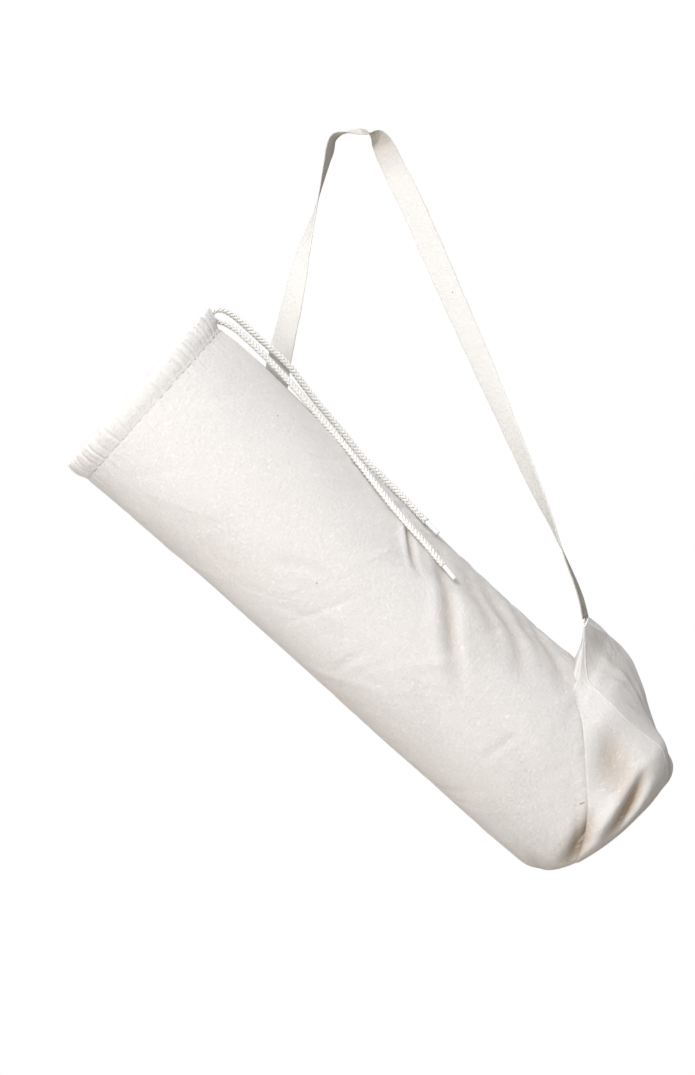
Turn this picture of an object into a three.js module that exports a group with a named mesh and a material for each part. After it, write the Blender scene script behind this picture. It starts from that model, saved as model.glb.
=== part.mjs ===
// A drawstring carrying bag of natural cotton canvas for a rolled exercise mat,
// hanging aslant from its shoulder strap with its round, filled-out form kept.
// Millimetres, +Z up. The origin is the underside of the strap where it hangs, at its highest point.
// -Y is the near side, which shows the folded end.
import * as THREE from "three";

// Bag: a canvas tube, open at the mouth and closed at the end.
const bagRadius = 84;
const bagLength = 574;
const bagWall = 2;
const bagTilt = 41.6; // degrees, how far the bag's axis dips below the horizontal
const mouthSide = -194.8; // centre of the mouth, sideways from the hang point
const mouthDrop = 223.9; // centre of the mouth, below the hang point

// Hem: the folded channel round the mouth, which ends at a slit for the cord.
const hemDepth = 21;
const hemCloth = 1.5;
const channelHeight = 8.6; // clear height inside the channel, across the cord
const hemRuffle = 1.2;
const hemRuffles = 19;
const tuckDepth = 17.6; // from the mouth to the bag's own cloth, which ends between the hem's two layers
const cordDepth = 8.8; // from the mouth to the middle of the cord in its channel
const slitMiddle = 5; // degrees, from the top of the bag to its near side
const slitTurn = 8; // degrees from the slit's middle to each end of the hem
const slitLift = 9; // how far the bunched hem stands up at its slit
const slitBunch = 24; // degrees over which that lift fades

// Drawcord: round braid through the channel, with two loose tails.
const cordDiameter = 6;
const cordSides = 8;
const tipDiameter = 4.4;
const tipLength = 15;
const tipWall = 0.7;
const tipSides = 12;

// Strap: flat woven tape from the bag's upper seam to the corner of its closed end.
const strapWidth = 22;
const strapThickness = 1.5;
const strapStep = 16; // longest piece of the strap between two of its sections
const strapTwist = 4; // most degrees that the strap turns between two of its sections
const strapSeat = 40; // length over which the strap turns to lie across its upper seam
const upperAnchorAlong = 88; // from the mouth to the middle of the strap's upper end
const upperAnchorTurn = -8; // degrees, from the top of the bag to its near side

const gap = 0.3; // between pieces that touch
const seatGap = 0.5; // between the bag's cloth and each layer of the hem

const columns = 48; // round the bag
const flapColumns = 9; // of those, from the corner's ridge to the edge of the fold
const flapBack = 4; // degrees from the fold's edge back to the cloth that it lies on
const cornerLayers = 2.5; // walls of cloth that lie in the pulled-up corner
const channelSteps = 40; // points of the cord's route in its channel
const cordStep = 2.2; // longest piece of a cord's tube, in diameters

function finish(name, color, roughness) {
  return new THREE.MeshStandardMaterial({ name, color, roughness, metalness: 0 });
}

const canvas = finish("canvas", 0xf1ece6, 0.95);
const hemCanvas = finish("hem_canvas", 0xf4efea, 0.95);
const tape = finish("tape", 0xf3efe9, 0.9);
const braid = finish("braid", 0xf4f1ec, 0.9);
const tipPlastic = finish("tip_plastic", 0xf0eeea, 0.4);

// Sections of the bag. along is a share of bagLength, everything else a share of bagRadius, turns in degrees.
// round: radius of the section. drop: its centre below the straight axis. ridge: how far the pulled-up corner
// reaches from the centre, at ridgeTurn from the top to the near side. lean: how far that reach is pulled
// towards the mouth. foldTurn: where the fold's edge lies. lip: how high the folded cloth lies on the cloth
// below. slant: how much further the upper side of the end stands out.
const sectionColumns = ["along", "round", "drop", "ridge", "ridgeTurn", "lean", "foldTurn", "lip", "slant"];
const sections = [
  [0.031, 1.024, 0, 0, 20, 0, 70, 0, 0],
  [0.11, 1.014, 0, 0, 20, 0, 70, 0, 0],
  [0.245, 0.998, 0, 0, 20, 0, 70, 0, 0],
  [0.38, 0.985, 0.015, 0, 20, 0, 60, 0, 0],
  [0.505, 0.977, 0.032, 0, 20, 0, 55, 0, 0],
  [0.69, 0.975, 0.036, 0, 22, 0, 50, 0, 0],
  [0.756, 0.98, 0.035, 0, 24, 0, 48, 0, 0],
  [0.775, 0.982, 0.035, 0, 25, 0, 48, 0, 0],
  [0.78, 0.982, 0.035, 1.43, 25, 0.345, 50, 0.03, 0],
  [0.79, 0.983, 0.034, 1.44, 21, 0.25, 54, 0.06, 0],
  [0.806, 0.984, 0.033, 1.44, 15, 0.17, 60, 0.07, 0],
  [0.833, 0.986, 0.031, 1.41, 10, 0.09, 71, 0.07, 0],
  [0.862, 0.988, 0.03, 1.34, 8, 0.05, 83, 0.07, 0],
  [0.888, 0.99, 0.028, 1.24, 7, 0, 93, 0.07, 0.02],
  [0.914, 0.988, 0.026, 1.12, 8, 0, 103, 0.07, 0.04],
  [0.94, 0.98, 0.024, 1.02, 12, 0, 113, 0.065, 0.06],
  [0.96, 0.95, 0.02, 0.96, 16, 0, 124, 0.055, 0.09],
  [0.976, 0.88, 0.015, 0.92, 20, 0, 134, 0.035, 0.14],
  [0.987, 0.76, 0.01, 0.86, 22, 0, 140, 0, 0.15],
  [0.994, 0.58, 0, 0.74, 22, 0, 140, 0, 0.15],
  [0.998, 0.34, 0, 0.4, 22, 0, 140, 0, 0.15],
  [1.0, 0.12, 0, 0, 22, 0, 140, 0, 0.15],
];
const tubeStep = 0.05; // longest share of bagLength between two rings of the tube
const tubeUntil = 0.77; // share of bagLength where the tube ends and the folded end begins
const innerLean = 0.55; // share of the corner's lean that the inside of the cloth follows
const endFrom = 0.93; // share of bagLength from which the inside stays back from the closed end
const endFull = 0.985;
const smoothFrom = 0.04; // share of bagLength from which soft folds begin
const smoothUntil = 0.12;

// Soft folds pressed into the tube. along and length are shares of bagLength, breadth and depth of bagRadius,
// turn is degrees from the top to the near side, and slant is degrees from the bag's own direction.
const creaseColumns = ["along", "turn", "length", "breadth", "depth", "slant"];
const creases = [
  [0.5, 50, 0.1, 0.16, -0.03, -22],
  [0.56, 40, 0.12, 0.14, -0.028, -28],
  [0.66, 32, 0.14, 0.15, -0.036, -18],
  [0.72, 58, 0.13, 0.17, -0.034, -26],
  [0.68, 128, 0.1, 0.15, -0.024, 30],
  [0.83, 112, 0.1, 0.18, -0.026, 24],
  [0.62, -60, 0.16, 0.2, -0.03, 20],
  [0.74, -35, 0.14, 0.16, -0.034, 14],
  [0.8, -95, 0.13, 0.2, -0.03, 34],
];

// The strap between its two ends. along and bow are shares of a leg's length, turn is degrees about the strap's
// run: 0 shows its inner face to the near side, 90 sets it edge on, 180 shows its outer face.
const legColumns = ["along", "bow", "turn"];
const upperLeg = [
  [0.0, 0.0, 72], [0.045, 0.003, 64], [0.09, 0.004, 69], [0.16, 0.0045, 76], [0.23, 0.005, 83],
  [0.3, 0.005, 90], [0.345, 0.008, 98], [0.42, 0.012, 110], [0.5, 0.014, 120], [0.58, 0.012, 130],
  [0.66, 0.01, 138], [0.74, 0.009, 147], [0.83, 0.009, 152], [0.92, 0.006, 154], [1, 0, 154],
];
const lowerLeg = [
  [0, 0, 64], [0.021, 0.004, 42], [0.044, 0.005, 34], [0.074, 0.006, 30], [0.139, 0.01, 25],
  [0.244, 0.011, 21], [0.347, 0.011, 28], [0.452, 0.0115, 35], [0.556, 0.0118, 46], [0.66, 0.012, 58],
  [0.765, 0.0132, 71], [0.81, 0.0134, 82], [0.848, 0.012, 91], [0.885, 0.0108, 97], [0.928, 0.01, 99],
  [0.965, 0.007, 99], [1, 0, 98],
];
// Where the strap bends over what it hangs from, in shares of strapWidth from the hang point.
const bendColumns = ["side", "rise", "turn"];
const strapBend = [
  [-1.1, -0.277, 72],
  [-0.82, -0.09, 88],
  [-0.5, 0.0, 102],
  [0, 0.034, 113],
  [0.35, 0.01, 104],
  [0.68, -0.123, 64],
];

// Routes of the cord's two loose tails, from the slit to the plastic tips, chosen by hand.
const longTail = [
  [-132.2, -20.1, -166.7], [-131.9, -16.6, -166.2], [-129.8, -13.2, -165.6], [-125.3, -11.6, -166.2],
  [-118.8, -11.4, -168.2], [-109.6, -11.6, -173.4], [-99.1, -12.0, -182.5], [-85.3, -13.0, -195.6],
  [-73.4, -14.8, -207.9], [-62.2, -17.2, -220.4], [-49.2, -20.2, -235.8], [-38.4, -23.3, -249.0],
  [-28.1, -27.4, -261.0], [-17.7, -33.4, -274.0], [-7.4, -39.9, -287.9], [3.9, -46.0, -303.4],
  [15.2, -51.2, -318.8], [26.7, -54.6, -333.3], [36.0, -56.4, -344.3], [45.4, -57.0, -354.4],
  [54.9, -57.1, -365.5], [63.5, -56.9, -375.7],
];
const shortTail = [
  [-130.7, 4.9, -164.9], [-130.9, 2.1, -163.6], [-130.6, -0.6, -160.6], [-128.6, -2.4, -157.4],
  [-125.0, -3.0, -155.7], [-119.6, -3.0, -156.0], [-111.8, -2.9, -160.0], [-102.8, -2.4, -167.1],
  [-92.6, -2.0, -176.2], [-79.4, -1.7, -188.0], [-68.0, -1.5, -198.2], [-59.0, -1.6, -207.8],
  [-51.0, -1.9, -218.4], [-39.9, -2.2, -232.8], [-27.6, -2.7, -247.3], [-15.6, -3.8, -261.4],
  [-3.2, -5.8, -277.3], [5.0, -8.1, -287.0], [13.7, -11.1, -295.7], [22.4, -14.1, -304.6],
  [30.7, -17.6, -313.1], [38.4, -21.7, -321.8], [46.1, -25.6, -330.6], [53.3, -28.7, -338.5],
];

const degrees = Math.PI / 180;
const axis = new THREE.Vector3(Math.cos(bagTilt * degrees), 0, -Math.sin(bagTilt * degrees));
const up = new THREE.Vector3(Math.sin(bagTilt * degrees), 0, Math.cos(bagTilt * degrees));
const near = new THREE.Vector3(0, -1, 0);
const mouth = new THREE.Vector3(mouthSide, 0, -mouthDrop);

// A point at a distance along the bag's axis and away from it, turned from the top to the near side.
function bagPoint(along, reach, turn, drop = 0) {
  return mouth.clone()
    .addScaledVector(axis, along)
    .addScaledVector(up, reach * Math.cos(turn * degrees) - drop)
    .addScaledVector(near, reach * Math.sin(turn * degrees));
}

function named(row, names) {
  return Object.fromEntries(names.map((name, i) => [name, row[i]]));
}

function blendRows(a, b, share) {
  return a.map((value, i) => value + (b[i] - value) * share);
}

// The rows of a table with more rows put in between, so that none are further apart than a step.
function refined(table, step, until) {
  const rows = [];
  for (let i = 0; i + 1 < table.length; i++) {
    const span = table[i + 1][0] - table[i][0];
    const parts = table[i][0] < until ? Math.max(1, Math.round(span / step)) : 1;
    for (let k = 0; k < parts; k++) rows.push(blendRows(table[i], table[i + 1], k / parts));
  }
  rows.push(table[table.length - 1]);
  return rows;
}

// Turns of the columns of one section: the flap from the ridge to the fold's edge, then the rest of the way round.
function columnTurns(section) {
  const turns = [];
  for (let i = 0; i < flapColumns; i++) {
    turns.push(section.ridgeTurn + ((section.foldTurn - section.ridgeTurn) * i) / (flapColumns - 1));
  }
  const edge = section.foldTurn + flapBack;
  const rest = columns - flapColumns;
  for (let i = 0; i < rest; i++) turns.push(edge + ((360 + section.ridgeTurn - edge) * i) / rest);
  return turns;
}

function creaseDepth(share, turn) {
  let depth = 0;
  for (const row of creases) {
    const crease = named(row, creaseColumns);
    const forward = (share - crease.along) * bagLength;
    const round = (((turn - crease.turn + 540) % 360) - 180) * degrees * bagRadius;
    const c = Math.cos(crease.slant * degrees);
    const s = Math.sin(crease.slant * degrees);
    const run = (forward * c + round * s) / (crease.length * bagLength);
    const side = (round * c - forward * s) / (crease.breadth * bagRadius);
    depth += crease.depth * bagRadius * Math.exp(-run * run - side * side);
  }
  return depth;
}

// One ring of the bag's cloth. inset is 0 on the outside and the wall's thickness on the inside.
// The cloth falls from the corner's ridge straight to the round tube, and on the near side no later than
// the fold's edge.
function bagRing(row, inset) {
  const section = named(row, sectionColumns);
  const round = section.round * bagRadius - inset;
  const ridge = Math.max(section.ridge * bagRadius - cornerLayers * inset, round);
  const blunt = Math.atan(strapWidth / 2 / ridge);
  const spread = Math.acos(Math.min(1, round / ridge));
  const steep = Math.max(1, (spread + blunt) / ((section.foldTurn - section.ridgeTurn) * degrees));
  const lean = section.lean * bagRadius * (inset ? innerLean : 1);
  const back = inset * THREE.MathUtils.smoothstep(section.along, endFrom, endFull);
  const smooth = THREE.MathUtils.smoothstep(section.along, smoothFrom, smoothUntil);
  return columnTurns(section).map((turn, i) => {
    const side = (((turn - section.ridgeTurn + 540) % 360) - 180) * degrees;
    const away = side > 0 ? side * steep : -side;
    let reach = round / Math.cos(Math.max(0, spread - Math.max(0, away - blunt)));
    const leaned = ridge > round ? (reach - round) / (ridge - round) : 0;
    const onFlap = i > 0 && i < flapColumns ? Math.min(1, i / 3) : 0;
    reach += onFlap * section.lip * bagRadius + smooth * creaseDepth(section.along, turn);
    const height = reach * Math.cos(turn * degrees);
    return bagPoint(section.along * bagLength - leaned * lean - back + section.slant * height,
      reach, turn, section.drop * bagRadius);
  });
}

// A closed skin through rings of equal counts. Each end is closed by triangles over its ring.
function skin(rings, capTriangles) {
  const count = rings[0].length;
  const positions = [];
  const faces = [];
  for (const ring of rings) for (const point of ring) positions.push(point.x, point.y, point.z);
  for (let r = 0; r + 1 < rings.length; r++) {
    for (let i = 0; i < count; i++) {
      const j = (i + 1) % count;
      const a = r * count;
      const b = a + count;
      faces.push(a + i, a + j, b + j, a + i, b + j, b + i);
    }
  }
  const last = (rings.length - 1) * count;
  for (const [i, j, k] of capTriangles) faces.push(i, k, j, last + i, last + j, last + k);
  return new THREE.BufferGeometry()
    .setAttribute("position", new THREE.Float32BufferAttribute(positions, 3))
    .setIndex(faces);
}

function fan(count) {
  const triangles = [];
  for (let i = 1; i + 1 < count; i++) triangles.push([0, i, i + 1]);
  return triangles;
}

// Triangles over a flat outline, wound the way the outline runs.
function outlineCap(outline) {
  const wound = Math.sign(THREE.ShapeUtils.area(outline));
  return THREE.ShapeUtils.triangulateShape(outline, []).map(([i, j, k]) => {
    const area = THREE.ShapeUtils.area([outline[i], outline[j], outline[k]]);
    return Math.sign(area) === wound ? [i, j, k] : [i, k, j];
  });
}

function mesh(name, geometry, material) {
  const made = new THREE.Mesh(geometry, material);
  made.name = name;
  return made;
}

// The cloth's upper edge tucks between the two layers of the hem, so it is a little narrower there.
function bagBody() {
  const rows = refined(sections, tubeStep, tubeUntil);
  const first = rows[0];
  const tuckedRound = first[1] - (hemCloth + seatGap) / bagRadius;
  const edge = [tuckDepth / bagLength, tuckedRound, ...first.slice(2)];
  const step = [(hemDepth + gap) / bagLength, tuckedRound, ...first.slice(2)];
  const clear = [(hemDepth + gap + hemCloth) / bagLength, ...first.slice(1)];
  const all = [edge, step, clear, ...rows.slice(1)];
  const outside = all.map((row) => bagRing(row, 0));
  const inside = all.map((row) => bagRing(row, bagWall));
  // From the closed end's inside to the mouth, over the edge, and back along the outside.
  return skin([...inside.reverse(), ...outside], fan(columns));
}

const mouthRadius = sections[0][1] * bagRadius;
const outerLayer = mouthRadius - hemCloth / 2;
const innerLayer = outerLayer - hemCloth - bagWall - 2 * seatGap;
const channelMiddle = (outerLayer + innerLayer) / 2;

// How freely the hem's cloth moves at a distance from the mouth: not at all where it is stitched down.
function hemFree(along) {
  return Math.max(0, 1 - along / tuckDepth);
}

function hemLift(turn) {
  const away = (((turn - slitMiddle + 540) % 360) - 180) / slitBunch;
  return slitLift * Math.exp(-away * away);
}

// The middle of the folded cloth, as shares of hemDepth from the mouth and shares of the channel's full swell.
const hemFold = [[1, 0], [0.74, 0.55], [0.45, 1], [0.16, 0.8]];

// The hem's section: the outer layer, the fold at the mouth and the inner layer, with the channel between them.
function hemProfile() {
  const swollen = (channelHeight + hemCloth) / 2;
  const half = (share) => (outerLayer - innerLayer) / 2 * (1 - share) + swollen * share;
  const outward = hemFold.map(([along, share]) => new THREE.Vector2(along * hemDepth, channelMiddle + half(share)));
  const inward = hemFold.map(([along, share]) => new THREE.Vector2(along * hemDepth, channelMiddle - half(share)));
  const middle = [...outward, new THREE.Vector2(hemCloth / 2, channelMiddle), ...inward.reverse()];
  const sideOf = (i) => {
    const before = middle[Math.max(0, i - 1)];
    const after = middle[Math.min(middle.length - 1, i + 1)];
    const run = i === 0 || i === middle.length - 1 ? new THREE.Vector2(i ? 1 : -1, 0) : after.clone().sub(before);
    return new THREE.Vector2(run.y, -run.x).normalize().multiplyScalar(hemCloth / 2);
  };
  const outside = middle.map((point, i) => point.clone().sub(sideOf(i)));
  const inside = middle.map((point, i) => point.clone().add(sideOf(i)));
  return [...inside, ...outside.reverse()];
}

// The folded hem is an open ring, and its two ends leave the slit.
function hem() {
  const profile = hemProfile();
  const rings = [];
  const steps = hemRuffles * 4;
  for (let i = 0; i <= steps; i++) {
    const turn = slitMiddle + slitTurn + ((360 - 2 * slitTurn) * i) / steps;
    const ruffle = hemRuffle * Math.sin(turn * degrees * hemRuffles);
    const loose = hemLift(turn) + ruffle;
    rings.push(profile.map((point) => bagPoint(point.x, point.y + loose * hemFree(point.x), turn)));
  }
  return skin(rings, outlineCap(profile));
}

function cordSection() {
  const points = [];
  for (let i = 0; i < cordSides; i++) {
    const turn = (2 * Math.PI * i) / cordSides;
    points.push(new THREE.Vector2(Math.cos(turn), Math.sin(turn)).multiplyScalar(cordDiameter / 2));
  }
  return new THREE.Shape(points);
}

function cordAlong(points) {
  const route = new THREE.CatmullRomCurve3(points, false, "centripetal");
  const steps = Math.ceil(route.getLength() / (cordDiameter * cordStep));
  return new THREE.ExtrudeGeometry(cordSection(), { steps, bevelEnabled: false, extrudePath: route });
}

// The stretch of cord that lies inside the channel, from one side of the slit to the other.
function channelCord() {
  const points = [];
  const from = slitTurn + 1;
  for (let i = 0; i <= channelSteps; i++) {
    const turn = slitMiddle + from + ((360 - 2 * from) * i) / channelSteps;
    points.push(bagPoint(cordDepth, channelMiddle + hemLift(turn) * hemFree(cordDepth), turn));
  }
  return cordAlong(points);
}

function tailRoute(points) {
  return points.map(([x, y, z]) => new THREE.Vector3(x, y, z));
}

// A plastic tube on the cord's end, open at its far end.
function cordTip(name, route) {
  const end = route[route.length - 1];
  const run = end.clone().sub(route[route.length - 2]).normalize();
  const radius = tipDiameter / 2;
  const outline = [[0, 0], [radius, 0], [radius, tipLength], [radius - tipWall, tipLength],
    [radius - tipWall, tipLength - tipDiameter], [0, tipLength - tipDiameter]];
  const turned = new THREE.LatheGeometry(outline.map(([r, h]) => new THREE.Vector2(r, h)), tipSides);
  const tip = mesh(name, turned, tipPlastic);
  tip.quaternion.setFromUnitVectors(new THREE.Vector3(0, 1, 0), run);
  tip.position.copy(end).addScaledVector(run, gap);
  return tip;
}

function sectionAt(along) {
  const share = along / bagLength;
  const i = Math.max(1, sections.findIndex((row) => row[0] >= share));
  const from = sections[i - 1];
  return named(blendRows(from, sections[i], (share - from[0]) / (sections[i][0] - from[0])), sectionColumns);
}

// The strap's stations from the upper seam, over its hanging point and down to the corner of the closed end.
function strapStations() {
  const seam = sectionAt(upperAnchorAlong);
  const top = bagPoint(upperAnchorAlong, seam.round * bagRadius + strapThickness / 2 + gap, upperAnchorTurn,
    seam.drop * bagRadius);
  const corner = cornerTip();
  const bend = strapBend.map((row) => named(row, bendColumns)).map(({ side, rise, turn }) => ({
    point: new THREE.Vector3(side * strapWidth, 0, rise * strapWidth + strapThickness / 2 - hangRise()),
    turn,
  }));
  const first = bend[0].point;
  const last = bend[bend.length - 1].point;
  const upper = leg(upperLeg, first, top, -1).reverse();
  const lower = leg(lowerLeg, last, corner, 1);
  return closeStations([...upper.slice(0, -1), ...bend, ...lower.slice(1)]);
}

// The stations with more put in between, on one smooth curve.
function closeStations(stations) {
  const curve = new THREE.CatmullRomCurve3(stations.map((station) => station.point), false, "centripetal");
  const close = [];
  for (let i = 0; i + 1 < stations.length; i++) {
    const [from, to] = [stations[i], stations[i + 1]];
    const apart = from.point.distanceTo(to.point) / strapStep;
    const parts = Math.ceil(Math.max(apart, Math.abs(to.turn - from.turn) / strapTwist));
    for (let k = 0; k < parts; k++) {
      const share = k / parts;
      const point = curve.getPoint((i + share) / (stations.length - 1));
      close.push({ point, turn: from.turn + (to.turn - from.turn) * share });
    }
  }
  close.push(stations[stations.length - 1]);
  return close;
}

function hangRise() {
  return Math.max(...strapBend.map((row) => row[1])) * strapWidth;
}

function leg(table, from, to, outwardSide) {
  const run = to.clone().sub(from);
  const outward = new THREE.Vector3(-run.z, 0, run.x).normalize().multiplyScalar(Math.sign(-run.z) * outwardSide);
  return table.map((row) => named(row, legColumns)).map(({ along, bow, turn }) => ({
    point: from.clone().addScaledVector(run, along).addScaledVector(outward, bow * run.length()),
    turn,
  }));
}

// Where the pulled-up corner of the closed end meets the strap.
function cornerTip() {
  const row = sections.find((values) => values[3] > 0);
  const tip = bagRing(row, 0)[0];
  return tip.addScaledVector(new THREE.Vector3(0, 0, 1), gap + strapThickness / 2);
}

function strap() {
  const stations = strapStations();
  const rings = stations.map(({ point, turn }, i) => {
    const before = stations[Math.max(0, i - 1)].point;
    const after = stations[Math.min(stations.length - 1, i + 1)].point;
    const run = after.clone().sub(before).normalize();
    const outward = new THREE.Vector3(-run.z, 0, run.x).normalize();
    const across = outward.multiplyScalar(Math.cos(turn * degrees)).addScaledVector(near, Math.sin(turn * degrees));
    const face = new THREE.Vector3().crossVectors(run, across).normalize();
    const seated = Math.max(0, 1 - point.distanceTo(stations[0].point) / strapSeat);
    const side = across.clone().lerp(axis, seated).normalize();
    const width = strapWidth / Math.sin(run.angleTo(side));
    const corner = (w, t) => point.clone().addScaledVector(side, (w * width) / 2)
      .addScaledVector(face, (t * strapThickness) / 2);
    return [corner(1, 1), corner(-1, 1), corner(-1, -1), corner(1, -1)];
  });
  return skin(rings, fan(4));
}

const bag = new THREE.Group();
bag.add(mesh("bag_body", bagBody(), canvas));
bag.add(mesh("hem_channel", hem(), hemCanvas));
bag.add(mesh("strap", strap(), tape));
bag.add(mesh("drawcord_in_channel", channelCord(), braid));

const drawcord = new THREE.Group();
const longRoute = tailRoute(longTail);
const shortRoute = tailRoute(shortTail);
drawcord.add(mesh("drawcord_tail_long", cordAlong(longRoute), braid));
drawcord.add(mesh("drawcord_tail_short", cordAlong(shortRoute), braid));
drawcord.add(cordTip("cord_tip_long", longRoute));
drawcord.add(cordTip("cord_tip_short", shortRoute));
bag.add(drawcord);

export default bag;
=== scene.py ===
import math
import bmesh
import bpy
import numpy as np
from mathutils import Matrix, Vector


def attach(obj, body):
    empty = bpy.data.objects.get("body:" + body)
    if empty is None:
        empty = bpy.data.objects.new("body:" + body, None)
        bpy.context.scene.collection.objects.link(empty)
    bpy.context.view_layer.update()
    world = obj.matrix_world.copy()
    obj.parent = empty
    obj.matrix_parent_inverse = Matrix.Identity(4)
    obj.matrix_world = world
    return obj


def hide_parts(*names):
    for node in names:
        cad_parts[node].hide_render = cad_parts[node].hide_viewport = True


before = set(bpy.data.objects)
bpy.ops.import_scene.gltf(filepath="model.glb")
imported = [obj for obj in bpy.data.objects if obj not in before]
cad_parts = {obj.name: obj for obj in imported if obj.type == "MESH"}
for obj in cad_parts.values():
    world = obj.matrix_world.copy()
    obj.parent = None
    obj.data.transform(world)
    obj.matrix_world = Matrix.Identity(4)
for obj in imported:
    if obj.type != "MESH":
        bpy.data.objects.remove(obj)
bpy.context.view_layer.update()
print("frame loaded:", len(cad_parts), "nodes")

# Studio: the camera stands a little left of the bag's middle and looks level
studio = {
    "eye": (-0.3096, -2.1796, -0.3525),
    "cameraTurn": -7.8,       # degrees about Z
    "lens": 84.68,            # mm, on a 36 mm sensor along the long side
    "sensor": 36,
    "floorDepth": 1.15,       # below the hang point
    "floorHalf": 1.8,
    "floorBack": 1.3,         # behind the bag
    "paper": (0.55, 0.5, 0.44),
    "keyPlace": (-0.93, -1.55, 0.88),
    "keySize": 0.5,
    "keyPower": 31.5,
    "fillPlace": (-1.9, -1.5, -1.05),
    "fillSize": 1.2,
    "fillPower": 36,
    "topPlace": (0.05, 0.22, 1.25),
    "topSize": 1.2,
    "topPower": 8,
    "aim": (0.0, 0.0, -0.4),
    "skyDark": 0.11,          # air on the side away from the key light
    "skyBright": 0.95,
    "skyFrom": -0.4,          # cosine of the turn from the bright side where the dark side begins
    "skyWay": (-0.38, -0.71, 0.59),
}


def makeCamera():
    cameraData = bpy.data.cameras.new("camera")
    cameraData.lens = studio["lens"]
    cameraData.sensor_width = studio["sensor"]
    camera = bpy.data.objects.new("camera", cameraData)
    camera.location = studio["eye"]
    camera.rotation_euler = (math.radians(90), 0, math.radians(studio["cameraTurn"]))
    bpy.context.scene.collection.objects.link(camera)
    bpy.context.scene.camera = camera


def makeLight(name, place, size, power):
    light = bpy.data.lights.new(name, "AREA")
    light.shape = "DISK"
    light.size = size
    light.energy = power
    lamp = bpy.data.objects.new(name, light)
    lamp.location = place
    lamp.rotation_euler = (Vector(studio["aim"]) - Vector(place)).to_track_quat("-Z", "Y").to_euler()
    bpy.context.scene.collection.objects.link(lamp)


def makeWorld():
    world = bpy.data.worlds.new("studioAir")
    world.use_nodes = True
    tree = world.node_tree
    tree.nodes.clear()
    seen = tree.nodes.new("ShaderNodeBackground")
    seen.inputs["Color"].default_value = (1, 1, 1, 1)
    lit = tree.nodes.new("ShaderNodeBackground")
    lit.inputs["Color"].default_value = (0.97, 0.985, 1.0, 1)
    way = tree.nodes.new("ShaderNodeTexCoord")
    facing = tree.nodes.new("ShaderNodeVectorMath")
    facing.operation = "DOT_PRODUCT"
    facing.inputs[1].default_value = studio["skyWay"]
    tree.links.new(way.outputs["Generated"], facing.inputs[0])
    soften = tree.nodes.new("ShaderNodeMapRange")
    soften.inputs["From Min"].default_value = studio["skyFrom"]
    soften.inputs["To Min"].default_value = studio["skyDark"]
    soften.inputs["To Max"].default_value = studio["skyBright"]
    tree.links.new(facing.outputs["Value"], soften.inputs["Value"])
    tree.links.new(soften.outputs["Result"], lit.inputs["Strength"])
    path = tree.nodes.new("ShaderNodeLightPath")
    mix = tree.nodes.new("ShaderNodeMixShader")
    output = tree.nodes.new("ShaderNodeOutputWorld")
    tree.links.new(path.outputs["Is Camera Ray"], mix.inputs["Fac"])
    tree.links.new(lit.outputs["Background"], mix.inputs[1])
    tree.links.new(seen.outputs["Background"], mix.inputs[2])
    tree.links.new(mix.outputs["Shader"], output.inputs["Surface"])
    bpy.context.scene.world = world


makeCamera()
makeLight("keyLight", studio["keyPlace"], studio["keySize"], studio["keyPower"])
makeLight("fillLight", studio["fillPlace"], studio["fillSize"], studio["fillPower"])
makeLight("topLight", studio["topPlace"], studio["topSize"], studio["topPower"])
makeWorld()
bpy.context.scene.view_settings.view_transform = "Standard"
print("camera and lights placed")


# Mesh helpers: a grid holds rows of points, and closed says that each row runs round
def meshPiece(name, points, faces, material, cloth=None):
    mesh = bpy.data.meshes.new(name)
    mesh.from_pydata(np.asarray(points, float).reshape(-1, 3).tolist(), [], faces)
    if cloth is not None:
        layer = mesh.uv_layers.new(name="cloth")
        layer.data.foreach_set("uv", np.asarray(cloth, np.float32).ravel())
    mesh.polygons.foreach_set("use_smooth", np.ones(len(mesh.polygons), bool))
    mesh.materials.append(material)
    outward = bmesh.new()
    outward.from_mesh(mesh)
    bmesh.ops.recalc_face_normals(outward, faces=outward.faces)
    outward.to_mesh(mesh)
    outward.free()
    mesh.update()
    piece = bpy.data.objects.new(name, mesh)
    bpy.context.scene.collection.objects.link(piece)
    return piece


def gridFaces(rows, columns, closed):
    across = columns if closed else columns - 1
    r, c = np.meshgrid(np.arange(rows - 1), np.arange(across), indexing="ij")
    d = (c + 1) % columns
    corners = [r * columns + c, r * columns + d, (r + 1) * columns + d, (r + 1) * columns + c]
    return np.stack(corners, -1).reshape(-1, 4)


# Cloth coordinates in metres for each face corner, where u has one more column than a closed row has points
def gridCloth(u, v):
    around = np.stack([u, v], -1)
    corners = [around[:-1, :-1], around[:-1, 1:], around[1:, 1:], around[1:, :-1]]
    return np.stack(corners, -2).reshape(-1, 2)


def smoothStep(low, high, value):
    share = np.clip((np.asarray(value, float) - low) / (high - low), 0, 1)
    return share * share * (3 - 2 * share)


# A smooth curve through the rows of a table that never swings past them
def smoothRows(knots, values, at):
    knots, values = np.asarray(knots, float), np.asarray(values, float)
    step = np.diff(knots)[:, None]
    slope = np.diff(values, axis=0) / step
    tangent = np.zeros_like(values)
    tangent[0], tangent[-1] = slope[0], slope[-1]
    before, after = slope[:-1], slope[1:]
    same = before * after > 0
    w1, w2 = 2 * step[1:] + step[:-1], step[1:] + 2 * step[:-1]
    bottom = np.where(same, w1 / np.where(same, before, 1) + w2 / np.where(same, after, 1), 1)
    tangent[1:-1] = np.where(same, (w1 + w2) / bottom, 0)
    i = np.clip(np.searchsorted(knots, at, side="right") - 1, 0, len(knots) - 2)
    h = step[i]
    t = ((np.asarray(at) - knots[i]) / h[:, 0])[:, None]
    first = (1 + 2 * t) * (1 - t) ** 2 * values[i] + t * (1 - t) ** 2 * h * tangent[i]
    return first + t * t * (3 - 2 * t) * values[i + 1] + t * t * (t - 1) * h * tangent[i + 1]


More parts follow.
